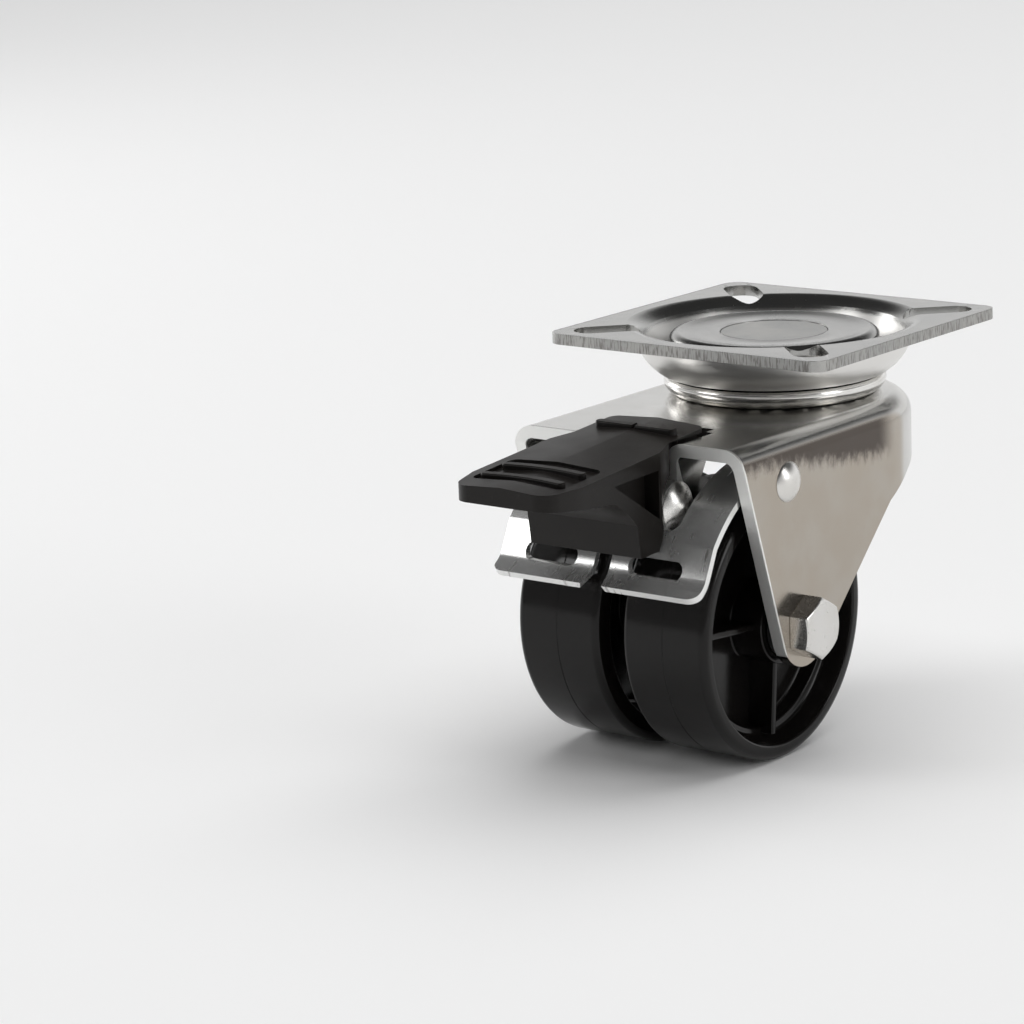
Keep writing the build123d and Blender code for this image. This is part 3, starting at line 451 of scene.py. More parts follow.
@dataclass(frozen=True)
class BrushedPlating(Plating):
    """Bright plate over a sheet that was rolled and bent: streaks down the bend and a slight ripple."""

    metallic: float = 0.8

    def build(self) -> bpy.types.Material:
        """Make the material.

        Returns:
            The material, ready for a piece's slot.
        """
        g = Graph.material(self.name)
        streak = g.noise(0.9, 4.0, (1, 6, 6), 0.65)
        ripple = g.noise(3.2, 2.0, (1, 3, 3))
        fine = g.noise(0.5, 1.0)
        dark = streak.step(0.56, 0.70) * ripple.step(0.42, 0.58)
        colour = g.mix(dark * 0.75, self.colour, self.tint)
        rough = self.satin(fine) + dark * 0.12
        normal = g.bump(fine, self.grain_depth, g.bump(ripple, self.waviness))
        return g.shade(Base_Color=colour, Metallic=self.metallic, Roughness=rough.clamp(), Normal=normal)


@dataclass(frozen=True)
class MouldedPlastic:
    """Moulded nylon: a smooth or spark-eroded skin with soft sink and rub marks."""

    name: str
    colour: Colour
    worn: Colour
    roughness: float
    skin: float = 0.25
    skin_depth: float = 0.004
    sink: float = 0.01
    specular: float = 0.5

    def build(self) -> bpy.types.Material:
        """Make the material.

        Returns:
            The material, ready for a piece's slot.
        """
        g = Graph.material(self.name)
        cloud = g.noise(7.0, 3.0)
        fine = g.noise(self.skin, 2.0)
        rub = g.noise(1.4, 6.0, roughness=0.7).step(0.60, 0.75)
        colour = g.mix(rub * 0.5 + cloud * 0.15, self.colour, self.worn)
        rough = cloud * 0.12 + (self.roughness - 0.06) + rub * 0.08
        normal = g.bump(g.noise(4.0, 1.0), self.sink, g.bump(fine, self.skin_depth))
        return g.shade(Base_Color=colour, Roughness=rough.clamp(), Normal=normal,
                       Specular_IOR_Level=self.specular)


class Finish(Enum):
    """The finishes that this caster's pieces have."""

    PLATE = SheetPlating("satin_plate", (0.40, 0.40, 0.39), 0.22, 0.06, waviness=0.03,
                         tint=(0.47, 0.46, 0.44))
    PIN = Plating("pressed_pin", (0.40, 0.40, 0.39), 0.27)
    FORK = ForkPlating("satin_fork", (0.62, 0.615, 0.60), 0.20, 0.06, (1, 1, 5), 0.0008, 0.02,
                       (0.50, 0.48, 0.45))
    POLISHED = Plating("polished_plate", (0.80, 0.79, 0.77), 0.14, 0.04)
    LEAF = BrushedPlating("bright_leaf", (0.86, 0.86, 0.85), 0.24, 0.05, grain_depth=0.0003, waviness=0.03,
                          tint=(0.22, 0.21, 0.20))
    RIVET = Plating("rivet_plate", (0.84, 0.83, 0.81), 0.26, 0.05)
    FASTENER = Plating("bright_fastener", (0.74, 0.73, 0.71), 0.24, 0.08)
    BALL = Plating("bearing_ball", (0.62, 0.62, 0.64), 0.08, 0.02)
    SPRING = Plating("spring_wire", (0.42, 0.42, 0.43), 0.3)
    WHEEL = MouldedPlastic("black_wheel_nylon", (0.0050, 0.0044, 0.0041), (0.017, 0.015, 0.014), 0.15,
                           sink=0.02, specular=0.26)
    PEDAL = MouldedPlastic("black_pedal_nylon", (0.0085, 0.0070, 0.0062), (0.032, 0.029, 0.026), 0.36,
                           0.35, 0.014, specular=0.22)
    NATURAL = MouldedPlastic("natural_nylon", (0.70, 0.69, 0.64), (0.60, 0.59, 0.55), 0.45)
    WASHER = MouldedPlastic("black_washer_nylon", (0.012, 0.012, 0.012), (0.03, 0.03, 0.03), 0.35)
    INSERT = MouldedPlastic("blue_nylon", (0.02, 0.09, 0.35), (0.03, 0.12, 0.4), 0.4)

    def material(self) -> bpy.types.Material:
        """The finish's material, made once."""
        return bpy.data.materials.get(self.value.name) or self.value.build()


# ---------------------------------------------------------------------------------- mesh helpers
RECORD = frame["record"]
BODY_OF = {node: body for body, nodes in RECORD["behaviour"]["bodies"].items() for node in nodes}
SHARP = math.radians(50)
WELD = 0.002 * MM
FLAT = math.radians(0.4)


def dress(node: str, finish: Finish) -> None:
    """Give a CAD node a finish in place of its plain material.

    Args:
        node: the CAD node's name.
        finish: the finish it takes.
    """
    piece = frame["nodes"][node]
    piece.data.materials.clear()
    piece.data.materials.append(finish.material())
    log.info("dressed %s with %s", node, finish.value.name)


def publish(bm: bmesh.types.BMesh, name: str, node: str, finish: Finish) -> None:
    """Make a finished piece that stands for a CAD node.

    Args:
        bm: its mesh, in metres, which is freed.
        name: the piece's name.
        node: the CAD node that it replaces and whose body it rides on.
        finish: its finish.
    """
    mesh = bpy.data.meshes.new(name)
    bmesh.ops.recalc_face_normals(bm, faces=bm.faces)
    for face in bm.faces:
        face.smooth = True
    for edge in bm.edges:
        edge.smooth = not edge.is_manifold or edge.calc_face_angle(0.0) < SHARP
    bm.to_mesh(mesh)
    bm.free()
    piece = bpy.data.objects.new(name, mesh)
    bpy.context.scene.collection.objects.link(piece)
    modifier = piece.modifiers.new("weighted", "WEIGHTED_NORMAL")
    modifier.keep_sharp = True
    mesh.materials.append(finish.material())
    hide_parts(node)
    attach(piece, BODY_OF[node])
    log.info("%s: %d faces, stands for %s on %s", name, len(mesh.polygons), node, BODY_OF[node])


def merged_copy(node: str) -> bmesh.types.BMesh:
    """A CAD node's mesh with its loose triangles joined into clean faces.

    Args:
        node: the CAD node.

    Returns:
        The copy.
    """
    bm = bmesh.new()
    bm.from_mesh(frame["nodes"][node].data)
    bmesh.ops.remove_doubles(bm, verts=bm.verts, dist=WELD)
    bmesh.ops.dissolve_limit(bm, angle_limit=FLAT, verts=bm.verts, edges=bm.edges,
                             use_dissolve_boundaries=False)
    return bm


def ease_edges(bm: bmesh.types.BMesh, width: float, turn: float, segments: int = 2,
               where: Callable[[Vector], bool] | None = None) -> None:
    """Round the edges that turn sharply.

    Args:
        bm: the mesh.
        width: the bevel's width in millimetres.
        turn: the smallest angle between two faces that is eased, in degrees.
        segments: faces across the bevel.
        where: says whether the edge through a point is eased, or None for all.
    """
    sharp = [e for e in bm.edges if e.is_manifold and e.calc_face_angle() > math.radians(turn)
             and (where is None or where((e.verts[0].co + e.verts[1].co) / 2 / MM))]
    bmesh.ops.bevel(bm, geom=sharp, offset=width * MM, offset_type="OFFSET", segments=segments,
                    profile=0.5, affect="EDGES", clamp_overlap=True, material=-1)


def eased_piece(name: str, node: str, finish: Finish, width: float, turn: float) -> None:
    """Stand an edge-rounded copy in for a CAD node.

    Args:
        name: the piece's name.
        node: the CAD node.
        finish: its finish.
        width: the bevel's width in millimetres.
        turn: the smallest angle that is eased, in degrees.
    """
    bm = merged_copy(node)
    ease_edges(bm, width, turn)
    publish(bm, name, node, finish)


def outline_wire(points: Sequence[Corner], closed: bool, plot: Callable[[float, float], Vector],
                 segments: int = 4) -> bmesh.types.BMesh:
    """Draw an outline whose corners are rounded.

    Args:
        points: each corner's two coordinates in millimetres and how far its rounding reaches.
        closed: whether the last corner joins the first.
        plot: turns two coordinates into a point in millimetres.
        segments: edges across each rounded corner.

    Returns:
        A mesh of edges, in metres.
    """
    bm = bmesh.new()
    corners = [bm.verts.new(plot(a, b) * MM) for a, b, _ in points]
    for here, there in zip(corners, corners[1:] + corners[:1]):
        if closed or here is not corners[-1]:
            bm.edges.new((here, there))
    for corner, (_, _, reach) in zip(corners, points):
        if reach:
            bmesh.ops.bevel(bm, geom=[corner], offset=reach * MM, offset_type="OFFSET",
                            segments=segments, profile=0.5, affect="VERTICES", material=-1)
    return bm


def spun(bm: bmesh.types.BMesh, centre: Vector, axis: Vector, steps: int) -> bmesh.types.BMesh:
    """Turn an outline a full circle about an axis.

    Args:
        bm: the outline.
        centre: a point on the axis, in millimetres.
        axis: the axis.
        steps: faces round the circle.

    Returns:
        The same mesh.
    """
    bmesh.ops.spin(bm, geom=bm.verts[:] + bm.edges[:], cent=centre * MM, axis=axis, dvec=(0, 0, 0),
                   angle=TAU, steps=steps, use_merge=True, use_duplicate=False)
    bmesh.ops.remove_doubles(bm, verts=bm.verts, dist=0.001 * MM)
    bmesh.ops.dissolve_degenerate(bm, dist=0.0005 * MM, edges=bm.edges)
    bmesh.ops.recalc_face_normals(bm, faces=bm.faces)
    return bm


def carved(bm: bmesh.types.BMesh, cutter: bmesh.types.BMesh,
           operation: str = "DIFFERENCE") -> bmesh.types.BMesh:
    """Cut one closed mesh with another.

    Args:
        bm: the mesh that is cut, which is freed.
        cutter: the mesh that cuts it, which is freed.
        operation: the Boolean's operation.

    Returns:
        The result.
    """
    holders = []
    for each in (bm, cutter):
        mesh = bpy.data.meshes.new("carving")
        each.to_mesh(mesh)
        each.free()
        holders.append(bpy.data.objects.new("carving", mesh))
        bpy.context.scene.collection.objects.link(holders[-1])
    modifier = holders[0].modifiers.new("cut", "BOOLEAN")
    modifier.operation = operation
    modifier.solver = "EXACT"
    modifier.object = holders[1]
    depsgraph = bpy.context.evaluated_depsgraph_get()
    result = bmesh.new()
    result.from_mesh(holders[0].evaluated_get(depsgraph).to_mesh())
    for holder in holders:
        mesh = holder.data
        bpy.data.objects.remove(holder)
        bpy.data.meshes.remove(mesh)
    return result


def points_of(geometry: Sequence) -> list[bmesh.types.BMVert]:
    """The vertices in an operator's result."""
    return [item for item in geometry if isinstance(item, bmesh.types.BMVert)]


def face_of(geometry: Sequence) -> bmesh.types.BMFace:
    """The first face in an operator's result."""
    return next(item for item in geometry if isinstance(item, bmesh.types.BMFace))


def take_in(bm: bmesh.types.BMesh, other: bmesh.types.BMesh) -> None:
    """Add another mesh's geometry.

    Args:
        bm: the mesh that gains it.
        other: the other mesh, which is freed.
    """
    held = bpy.data.meshes.new("held")
    other.to_mesh(held)
    other.free()
    bm.from_mesh(held)
    bpy.data.meshes.remove(held)


def add_prism(bm: bmesh.types.BMesh, outline: bmesh.types.BMesh, along: Vector) -> None:
    """Add the solid that a closed outline sweeps.

    Args:
        bm: the mesh that it is added to.
        outline: the closed outline, which is freed.
        along: the sweep, in millimetres.
    """
    face = bmesh.ops.contextual_create(outline, geom=outline.verts[:] + outline.edges[:])["faces"][0]
    grown = bmesh.ops.extrude_face_region(outline, geom=[face], use_keep_orig=True)["geom"]
    bmesh.ops.translate(outline, vec=along * MM, verts=points_of(grown))
    bmesh.ops.recalc_face_normals(outline, faces=outline.faces)
    take_in(bm, outline)


# ---------------------------------------------------------------------------------- top plate
@dataclass
class TopPlate:
    """Square pressed plate: a trough for the balls, a low dome, and a slot in each corner."""

    half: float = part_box("top_plate")[1].x / MM
    under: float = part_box("top_plate")[0].z / MM
    sheet: float = 2.0
    corner: float = 3.0
    collar: float = 27.2
    mouth: float = 25.2
    floor_radius: float = 21.3
    dome_radius: float = 19.1
    dome_top: float = -1.7
    pin_radius: float = 9.97
    slot_width: float = 6.5
    slot_inner: float = 39.0 / math.sqrt(2)
    slot_outer: float = 48.0 / math.sqrt(2)
    slot_ease: float = 0.55
    rim_ease: float = 0.3
    round_end: float = 0.995
    steps: int = 128

    def pressing(self) -> bmesh.types.BMesh:
        """Turn the plate's round middle, from its flat collar in to the pin's seat and back below.

        Returns:
            The pressing, open where the square begins.
        """
        floor = self.under + self.sheet
        dome = self.dome_radius
        seat = self.dome_top - 1.4
        points = [
            (self.collar, 0, 0), (self.mouth, 0, 1.9), (22.7, -3.6, 2.4), (21.6, floor + 0.7, 0.6),
            (self.floor_radius - 0.4, floor, 0.4), (dome + 0.7, floor, 0.4), (dome + 0.35, -2.6, 0.5),
            (dome - 0.8, self.dome_top + 0.22, 0.8), (13.4, self.dome_top - 0.55, 2.9),
            (self.pin_radius, self.dome_top - 0.25, 0.12), (self.pin_radius, seat, 0), (6.0, seat, 0),
            (6.0, self.dome_top - 2.25, 0), (dome - 1.9, self.dome_top - 2.25, 0.5),
            (dome - 0.8, self.under + 0.3, 0.3), (dome, self.under, 0.4),
            (self.floor_radius - 0.6, self.under, 0.8),
            (23.3, -7.4, 1.6), (24.9, -4.9, 1.3), (25.4, -self.sheet, 0.9), (self.collar, -self.sheet, 0),
        ]
        wire = outline_wire(points, False, lambda r, z: Vector((r, 0, z)), 5)
        return spun(wire, Vector(), Vector((0, 0, 1)), self.steps)

    def add_square(self, bm: bmesh.types.BMesh) -> None:
        """Add the square rim round the pressing.

        Args:
            bm: the pressing, which gains the rim.
        """
        h, c = self.half, self.corner
        square = outline_wire([(h, h, c), (-h, h, c), (-h, -h, c), (h, -h, c)], True,
                              lambda x, y: Vector((x, y, 0)), 8)
        before = set(bm.edges)
        take_in(bm, square)
        top = [e for e in bm.edges if e not in before]
        grown = bmesh.ops.extrude_edge_only(bm, edges=top)["geom"]
        bmesh.ops.translate(bm, vec=(0, 0, -self.sheet * MM), verts=points_of(grown))
        for level in (0.0, -self.sheet):
            loops = [e for e in bm.edges if len(e.link_faces) == 1
                     and all(abs(v.co.z / MM - level) < 0.01 for v in e.verts)]
            bmesh.ops.triangle_fill(bm, edges=loops, use_beauty=True, normal=(0, 0, 1))
        bmesh.ops.recalc_face_normals(bm, faces=bm.faces)

    def slots(self) -> bmesh.types.BMesh:
        """Draw the four slots.

        Returns:
            Solids that cut the plate.
        """
        cutter = bmesh.new()
        r = self.slot_width / 2
        for turn in range(4):
            spin = Matrix.Rotation(math.radians(45 + 90 * turn), 3, "Z")
            inner, outer = self.slot_inner - r, self.slot_outer + r
            ends = [(x, y, self.round_end * r) for x, y in ((inner, r), (inner, -r), (outer, -r), (outer, r))]
            wire = outline_wire(ends, True, lambda x, y: spin @ Vector((x, y, -2.4)), 10)
            add_prism(cutter, wire, Vector((0, 0, 4.0)))
        return cutter

    def beside_slot(self, point: Vector) -> bool:
        """Whether a point on the top face lies on a slot's edge, clear of the outline."""
        inside = max(abs(point.x), abs(point.y)) < self.half - 0.5
        return inside and point.z > -0.3 and math.hypot(point.x, point.y) > self.mouth - 1.2

    def build(self) -> None:
        """Make the plate."""
        bm = self.pressing()
        self.add_square(bm)
        bm = carved(bm, self.slots())
        bmesh.ops.remove_doubles(bm, verts=bm.verts, dist=0.003 * MM)
        reach = self.half - 0.5
        ease_edges(bm, self.rim_ease, 50, 2, lambda p: max(abs(p.x), abs(p.y)) > reach)
        ease_edges(bm, self.slot_ease, 50, 3, self.beside_slot)
        publish(bm, "plate_pressing", "top_plate", Finish.PLATE)


# ---------------------------------------------------------------------------------- wheels
@dataclass
class Wheel:
    """One moulded wheel of the pair: closed tread, recessed web with ribs, and a long hub."""

    node: str
    side: int
    inner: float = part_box("wheel_right")[0].x / MM
    outer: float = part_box("wheel_right")[1].x / MM
    radius: float = (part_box("wheel_right")[1].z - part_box("wheel_right")[0].z) / 2 / MM
    axle: tuple[float, float] = (-28.5, -48.4)
    bore: float = 4.45
    hub: float = 7.4
    rim_wall: float = 2.7
    web_radius: float = 19.6
    web_depth: float = 6.8
    web_sheet: float = 3.0
    seam: float = 0.12
    rib_count: int = 4
    rib_sheet: float = 1.3
    rib_inset: float = 1.6
    rib_angle: float = 175.0
    steps: int = 144

    def turned(self) -> bmesh.types.BMesh:
        """Turn the wheel from its outline.

        Returns:
            Its body, without what stands on the web.
        """
        web = self.outer - self.web_depth
        rim = self.radius - self.rim_wall
        middle = (self.inner + self.outer) / 2
        s = self.seam
        points = [
            (self.inner, self.bore, 0.2), (self.inner, self.hub, 0.3), (web - self.web_sheet, self.hub, 0.5),
            (web - self.web_sheet, self.web_radius - 0.5, 0.8), (self.inner, rim - 1.2, 0.2),
            (self.inner, self.radius, 1.5),
            (middle - s, self.radius, 0.03), (middle, self.radius - s, 0), (middle + s, self.radius, 0.03),
            (self.outer, self.radius, 1.5), (self.outer, rim, 0.35), (web + 3.0, self.web_radius + 1.3, 0.5),
            (web + 2.8, self.web_radius, 0.25), (web, self.web_radius - 0.3, 0.6),
            (web, self.hub, 0.5), (self.outer, self.hub, 0.4), (self.outer, self.bore, 0.2),
        ]
        wire = outline_wire(points, True, lambda x, r: Vector((x, self.axle[0] + r, self.axle[1])), 5)
        return spun(wire, Vector((0, *self.axle)), Vector((1, 0, 0)), self.steps)

    def build(self) -> None:
        """Make the wheel."""
        bm = self.turned()
        ribs = bmesh.new()
        web = self.outer - self.web_depth
        width = self.outer - self.rib_inset - web
        low, high = self.hub - 0.8, self.web_radius + 0.9
        for n in range(self.rib_count):
            spin = Matrix.Rotation(math.radians(self.rib_angle + 360 * n / self.rib_count), 3, "X")
            h = self.rib_sheet / 2
            blade = [(web - 0.5, -h, 0), (web + width, -h, 0.35), (web + width, h, 0.35), (web - 0.5, h, 0)]
            seat = Vector((0, *self.axle))
            wire = outline_wire(blade, True, lambda x, z: spin @ Vector((x, low, z)) + seat, 3)
            add_prism(ribs, wire, spin @ Vector((0, high - low, 0)))
        bm = carved(bm, ribs, "UNION")
        if self.side < 0:
            bmesh.ops.scale(bm, vec=(-1, 1, 1), verts=bm.verts)
        publish(bm, f"{self.node}_moulding", self.node, Finish.WHEEL)


# ---------------------------------------------------------------------------------- brake leaf
def heading_vector(degrees: float) -> Vector:
    """The unit vector at an angle from Y towards Z."""
    return Vector((0, math.cos(math.radians(degrees)), math.sin(math.radians(degrees))))


class FoldedStrip:
    """A sheet that grows from its end face by bends about X and straight runs."""

    def __init__(self, section: Sequence[Vector]) -> None:
        """Start from the sheet's cross-section.

        Args:
            section: its corners in order, in millimetres.
        """
        self.mesh = bmesh.new()
        self.end = self.mesh.faces.new([self.mesh.verts.new(corner * MM) for corner in section])

    def middle(self) -> Vector:
        """The middle of the end face, in millimetres."""
        return self.end.calc_center_median() / MM

    def bend(self, centre: Vector, degrees: float, steps: int) -> None:
        """Go on round a bend.

        Args:
            centre: a point on the bend's axis, in millimetres.
            degrees: how far it turns.
            steps: faces round it.
        """
        geometry = [self.end] + list(self.end.edges) + list(self.end.verts)
        made = bmesh.ops.spin(self.mesh, geom=geometry, cent=centre * MM, axis=(1, 0, 0), dvec=(0, 0, 0),
                              angle=math.radians(degrees), steps=steps, use_merge=False,
                              use_duplicate=False)["geom_last"]
        self.end = face_of(made)

    def run(self, length: float, heading: float) -> None:
        """Go on straight.

        Args:
            length: how far, in millimetres.
            heading: which way, in degrees from Y towards Z.
        """
        made = bmesh.ops.extrude_face_region(self.mesh, geom=[self.end])["geom"]
        bmesh.ops.translate(self.mesh, vec=heading_vector(heading) * length * MM, verts=points_of(made))
        bmesh.ops.delete(self.mesh, geom=[self.end], context="FACES_ONLY")
        self.end = face_of(made)


@dataclass
class BrakeLeaf:
    """Bent sheet over both wheels: curved arms, an apron with slots and a slit, and a flared lip."""

    sheet: float = 1.2
    half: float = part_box("brake_leaf")[1].x / MM
    axle: tuple[float, float] = (-28.5, -48.4)
    radius: float = 30.5
    rear_angle: float = 96.0
    corner_angle: float = 38.7
    corner_bend: float = 4.0
    apron_turn: float = 244.15
    apron_length: float = 7.11
    foot_bend: float = 4.5
    lip_turn: float = 208.9
    lip_length: float = 3.31
    lip_corner: float = 2.3
    lip_level: float = -37.3
    window: tuple[float, float] = (13.6, -50.9)
    window_floor: float = -33.1
    slit: tuple[float, float] = (1.75, -31.43)
    slot: tuple[float, float] = (11.5, 3.2)
    slot_middle: tuple[float, float] = (11.3, -33.93)
    before_apron: float = -65.0
    through_apron: float = 20.0
    pivot: tuple[float, float] = (-33.0, -21.2)
    lobe: float = 4.0
    hole: float = 2.05
    inset: float = 0.02
    tab_span: float = 20.0
    tab_steps: int = 3
    ease: float = 0.28

    def strip(self) -> bmesh.types.BMesh:
        """Bend the sheet at its full width, from its rear end forwards and down to the lip.

        Returns:
            The strip, still without openings.
        """
        axle = Vector((0, *self.axle))
        out = heading_vector(180 - self.rear_angle)
        ends = [(-self.half, self.radius), (self.half, self.radius),
                (self.half, self.radius - self.sheet), (-self.half, self.radius - self.sheet)]
        strip = FoldedStrip([axle + Vector((x, 0, 0)) + out * r for x, r in ends])
        heading = 270 - self.corner_angle
        corner_turn = self.apron_turn - heading
        foot_turn = self.apron_turn - self.lip_turn
        corner_share = self.corner_bend * math.tan(math.radians(corner_turn / 2))
        foot_share = self.foot_bend * math.tan(math.radians(foot_turn / 2))
        early = math.degrees(corner_share / self.radius)
        strip.bend(axle, self.rear_angle - self.corner_angle - early, 24)
        inwards = heading_vector(heading - early + 90)
        strip.bend(strip.middle() + inwards * (self.corner_bend - self.sheet / 2), corner_turn + early, 5)
        strip.run(self.apron_length - corner_share - foot_share, self.apron_turn)
        outwards = heading_vector(self.apron_turn - 90)
        strip.bend(strip.middle() + outwards * (self.foot_bend + self.sheet / 2), -foot_turn, 9)
        strip.run(self.lip_length - foot_share, self.lip_turn)
        tips = [e for e in strip.end.edges if abs(e.verts[0].co.x - e.verts[1].co.x) < 0.1 * MM]
        bmesh.ops.bevel(strip.mesh, geom=tips, offset=self.lip_corner * MM, offset_type="OFFSET", segments=6,
                        profile=0.5, affect="EDGES", material=-1)
        bmesh.ops.recalc_face_normals(strip.mesh, faces=strip.mesh.faces)
        return strip.mesh

    def openings(self) -> bmesh.types.BMesh:
        """Draw the window between the arms, the slit and the two slots.

        Returns:
            Solids that cut the strip.
        """
        cutter = bmesh.new()
        wide, front = self.window
        room = outline_wire([(-wide, front, 1.5), (wide, front, 1.5), (wide, 10, 0), (-wide, 10, 0)], True,
                            lambda x, y: Vector((x, y, self.window_floor)), 5)
        add_prism(cutter, room, Vector((0, 0, 30)))
        half, top = self.slit
        flare, below = half + 1.2, self.lip_level - 1.5
        flare_top = self.lip_level + 1.1
        slit = outline_wire([(-half, top, 0.8), (half, top, 0.8), (half, flare_top, 1.0), (flare, below, 0),
                             (-flare, below, 0), (-half, flare_top, 1.0)], True,
                            lambda x, z: Vector((x, self.before_apron, z)), 4)
        add_prism(cutter, slit, Vector((0, self.through_apron, 0)))
        middle, level = self.slot_middle
        long, tall = self.slot[0] / 2, self.slot[1] / 2
        for side in (-1, 1):
            corners = ((-long, -tall), (long, -tall), (long, tall), (-long, tall))
            ends = [(x, z, 0.99 * tall) for x, z in corners]
            wire = outline_wire(ends, True,
                                lambda x, z: Vector((side * middle + x, self.before_apron, level + z)), 6)
            add_prism(cutter, wire, Vector((0, self.through_apron, 0)))
        return cutter

    def tabs(self) -> bmesh.types.BMesh:
        """Draw the two side tabs, which reach down from the arms.

        Returns:
            Solids that join the strip.
        """
        joined = bmesh.new()
        y, z = self.pivot
        for side in (-1, 1):
            low = (self.half - self.sheet if side > 0 else -self.half) + self.inset
            arm = []
            for n in range(self.tab_steps + 1):
                turn = math.radians(self.rear_angle - 1 - self.tab_span * n / self.tab_steps)
                reach = self.radius - self.sheet / 2
                arm.append((self.axle[0] - reach * math.cos(turn), self.axle[1] + reach * math.sin(turn), 0))
            rest = [(y - 6.5, z - 2.2, 1.2), (y - 1.3, z - self.lobe + 0.5, 0), (y, z, 0),
                    (y + self.lobe - 0.1, z, 0)]
            add_prism(joined, outline_wire(arm + rest, True, lambda a, b: Vector((low, a, b)), 4),
                      Vector((self.sheet - 2 * self.inset, 0, 0)))
        return joined

    def add_rod(self, bm: bmesh.types.BMesh, radius: float, low: float, length: float) -> None:
        """Add a rod along X about the rivets' axis.

        Args:
            bm: the mesh that it is added to.
            radius: its radius in millimetres.
            low: where it starts, in millimetres.
            length: how long it is, in millimetres.
        """
        rim = bmesh.new()
        place = Matrix.Translation(Vector((low, *self.pivot)) * MM) @ Matrix.Rotation(math.pi / 2, 4, "Y")
        bmesh.ops.create_circle(rim, cap_ends=False, segments=40, radius=radius * MM, matrix=place)
        add_prism(bm, rim, Vector((length, 0, 0)))

    def build(self) -> None:
        """Make the leaf."""
        bm = carved(self.strip(), self.openings())
        bm = carved(bm, self.tabs(), "UNION")
        lobes = bmesh.new()
        for low in (-self.half, self.half - self.sheet):
            self.add_rod(lobes, self.lobe, low + 2 * self.inset, self.sheet - 4 * self.inset)
        bm = carved(bm, lobes, "UNION")
        holes = bmesh.new()
        self.add_rod(holes, self.hole, -self.half - 2, 2 * self.half + 4)
        bm = carved(bm, holes)
        bmesh.ops.remove_doubles(bm, verts=bm.verts, dist=0.004 * MM)
        ease_edges(bm, self.ease, 50, 2)
        publish(bm, "leaf_pressing", "brake_leaf", Finish.LEAF)


# ---------------------------------------------------------------------------------- stage
LIGHTS_AIM = (0, -0.02, -0.04)


@dataclass(frozen=True)
class Softbox:
    """A rectangular soft light that looks at the caster."""

    name: str
    place: tuple[float, float, float]
    size: tuple[float, float]
    power: float
    mirrored: bool = True

    def build(self) -> None:
        """Hang the light."""
        light = bpy.data.lights.new(self.name, "AREA")
        light.shape = "RECTANGLE"
        light.size, light.size_y = self.size
        light.energy = self.power
        lamp = bpy.data.objects.new(self.name, light)
        lamp.location = self.place
        lamp.visible_glossy = self.mirrored
        aim = Vector(LIGHTS_AIM) - Vector(self.place)
        lamp.rotation_euler = aim.to_track_quat("-Z", "Y").to_euler()
        bpy.context.scene.collection.objects.link(lamp)


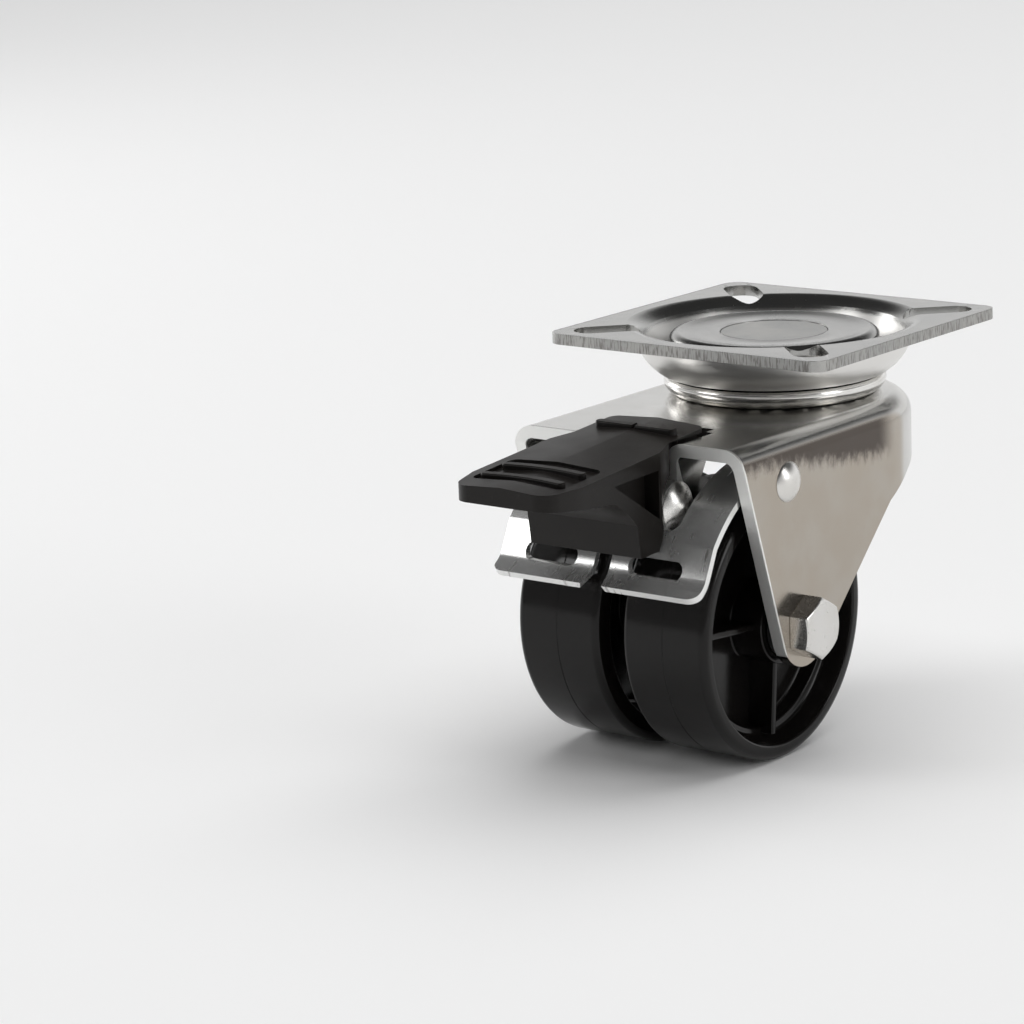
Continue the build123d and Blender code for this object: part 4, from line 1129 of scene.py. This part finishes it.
@dataclass
class Studio:
    """Pale floor, soft lights, a dim surround that the metal mirrors, and the camera."""

    floor_z: float
    floor_half: float = 4.0
    floor_tone: Colour = (0.93, 0.93, 0.93)
    floor_roughness: float = 0.9
    horizon: float = 0.92
    ceiling: float = 0.05
    front_share: float = 0.36
    front_to_back: tuple[float, float] = (-0.7, 0.4)
    glow_fade: tuple[float, float] = (0.52, 0.20)
    eye: tuple[float, float, float] = (0.4004, -0.5860, 0.1331)
    azimuth: float = 38.34
    elevation: float = 13.33
    roll: float = -2.05
    lens: float = 137.3
    lights: tuple[Softbox, ...] = (
        Softbox("overhead", (0.0, 0.9, 3.0), (4.0, 5.0), 110, False),
        Softbox("front_left", (-0.80, -0.85, 0.62), (0.45, 0.5), 3.0),
        Softbox("left", (-1.1, 0.10, 0.22), (0.35, 0.6), 2.0),
        Softbox("right", (1.0, 0.10, 0.45), (0.35, 0.6), 2.0),
    )

    def floor(self) -> None:
        """Lay the pale floor under the wheels."""
        bm = bmesh.new()
        bmesh.ops.create_grid(bm, x_segments=1, y_segments=1, size=self.floor_half,
                              matrix=Matrix.Translation((0, 0, self.floor_z)))
        mesh = bpy.data.meshes.new("floor")
        bm.to_mesh(mesh)
        bm.free()
        floor = bpy.data.objects.new("floor", mesh)
        bpy.context.scene.collection.objects.link(floor)
        paper = Graph.material("floor_paper")
        mesh.materials.append(paper.shade(Base_Color=self.floor_tone, Roughness=self.floor_roughness))

    def world(self) -> None:
        """Light the surround: a band round the horizon, brighter behind, under a dark ceiling."""
        bpy.context.scene.world = bpy.data.worlds.new("studio")
        g = Graph(bpy.context.scene.world)
        split = g.node("ShaderNodeSeparateXYZ", None, {0: g.node("ShaderNodeTexCoord", output="Generated")})
        y, z = (Value(g, split.socket.node.outputs[n]) for n in (1, 2))
        behind = y.step(*self.front_to_back) * (1 - self.front_share) + self.front_share
        glow = z.step(*self.glow_fade) * behind * (self.horizon - self.ceiling) + self.ceiling
        light = g.node("ShaderNodeBackground", None, {"Color": (1, 1, 1, 1), "Strength": glow})
        end = g.tree.nodes.new("ShaderNodeOutputWorld")
        g.tree.links.new(light.socket, end.inputs["Surface"])

    def camera(self) -> None:
        """Stand the camera in front, a little above and to the right."""
        a, e, r = (math.radians(v) for v in (self.azimuth, self.elevation, self.roll))
        back = Vector((math.sin(a) * math.cos(e), -math.cos(a) * math.cos(e), math.sin(e)))
        right = Vector((math.cos(a), math.sin(a), 0.0))
        up = back.cross(right)
        turned_right = right * math.cos(r) + up * math.sin(r)
        turned_up = up * math.cos(r) - right * math.sin(r)
        data = bpy.data.cameras.new("camera")
        data.lens = self.lens
        camera = bpy.data.objects.new("camera", data)
        turn = Matrix((turned_right, turned_up, back)).transposed().to_4x4()
        camera.matrix_world = Matrix.Translation(self.eye) @ turn
        bpy.context.scene.collection.objects.link(camera)
        bpy.context.scene.camera = camera

    def build(self) -> None:
        """Set up everything round the caster."""
        self.floor()
        self.world()
        for light in self.lights:
            light.build()
        self.camera()
        bpy.context.scene.view_settings.view_transform = "Standard"
        log.info("studio ready")


def main() -> None:
    """Build the caster's looks and the studio."""
    TopPlate().build()
    for node, side in (("wheel_left", -1), ("wheel_right", 1)):
        Wheel(node, side).build()
    BrakeLeaf().build()
    for name, node, finish, width, turn in (
        ("fork_pressing", "fork", Finish.FORK, 0.42, 30),
        ("kingpin_head", "kingpin", Finish.PIN, 0.12, 30),
        ("race_bead", "race_ring", Finish.POLISHED, 0.2, 20),
        ("pedal_moulding", "brake_pedal", Finish.PEDAL, 0.35, 30),
        ("pedal_rivet", "pedal_pin", Finish.RIVET, 0.15, 30),
        ("leaf_rivet_pair", "leaf_rivets", Finish.RIVET, 0.12, 40),
        ("hexagon_bolt", "axle_bolt", Finish.FASTENER, 0.15, 30),
        ("locking_nut", "axle_nut", Finish.FASTENER, 0.15, 30),
    ):
        eased_piece(name, node, finish, width, turn)
    finishes = {
        "lower_cup": Finish.POLISHED, "upper_balls": Finish.BALL, "lower_balls": Finish.BALL,
        "nut_insert": Finish.INSERT, "axle_sleeve": Finish.FASTENER, "wheel_spacer": Finish.NATURAL,
        "end_washers": Finish.WASHER, "pedal_spring": Finish.SPRING, "leaf_washers": Finish.FASTENER,
    }
    for node, finish in finishes.items():
        dress(node, finish)
    Studio(floor_z=CAD_BOX[0].z).build()


if __name__ == "__main__":
    logging.basicConfig(level=logging.INFO, format="%(name)s: %(message)s")
    main()
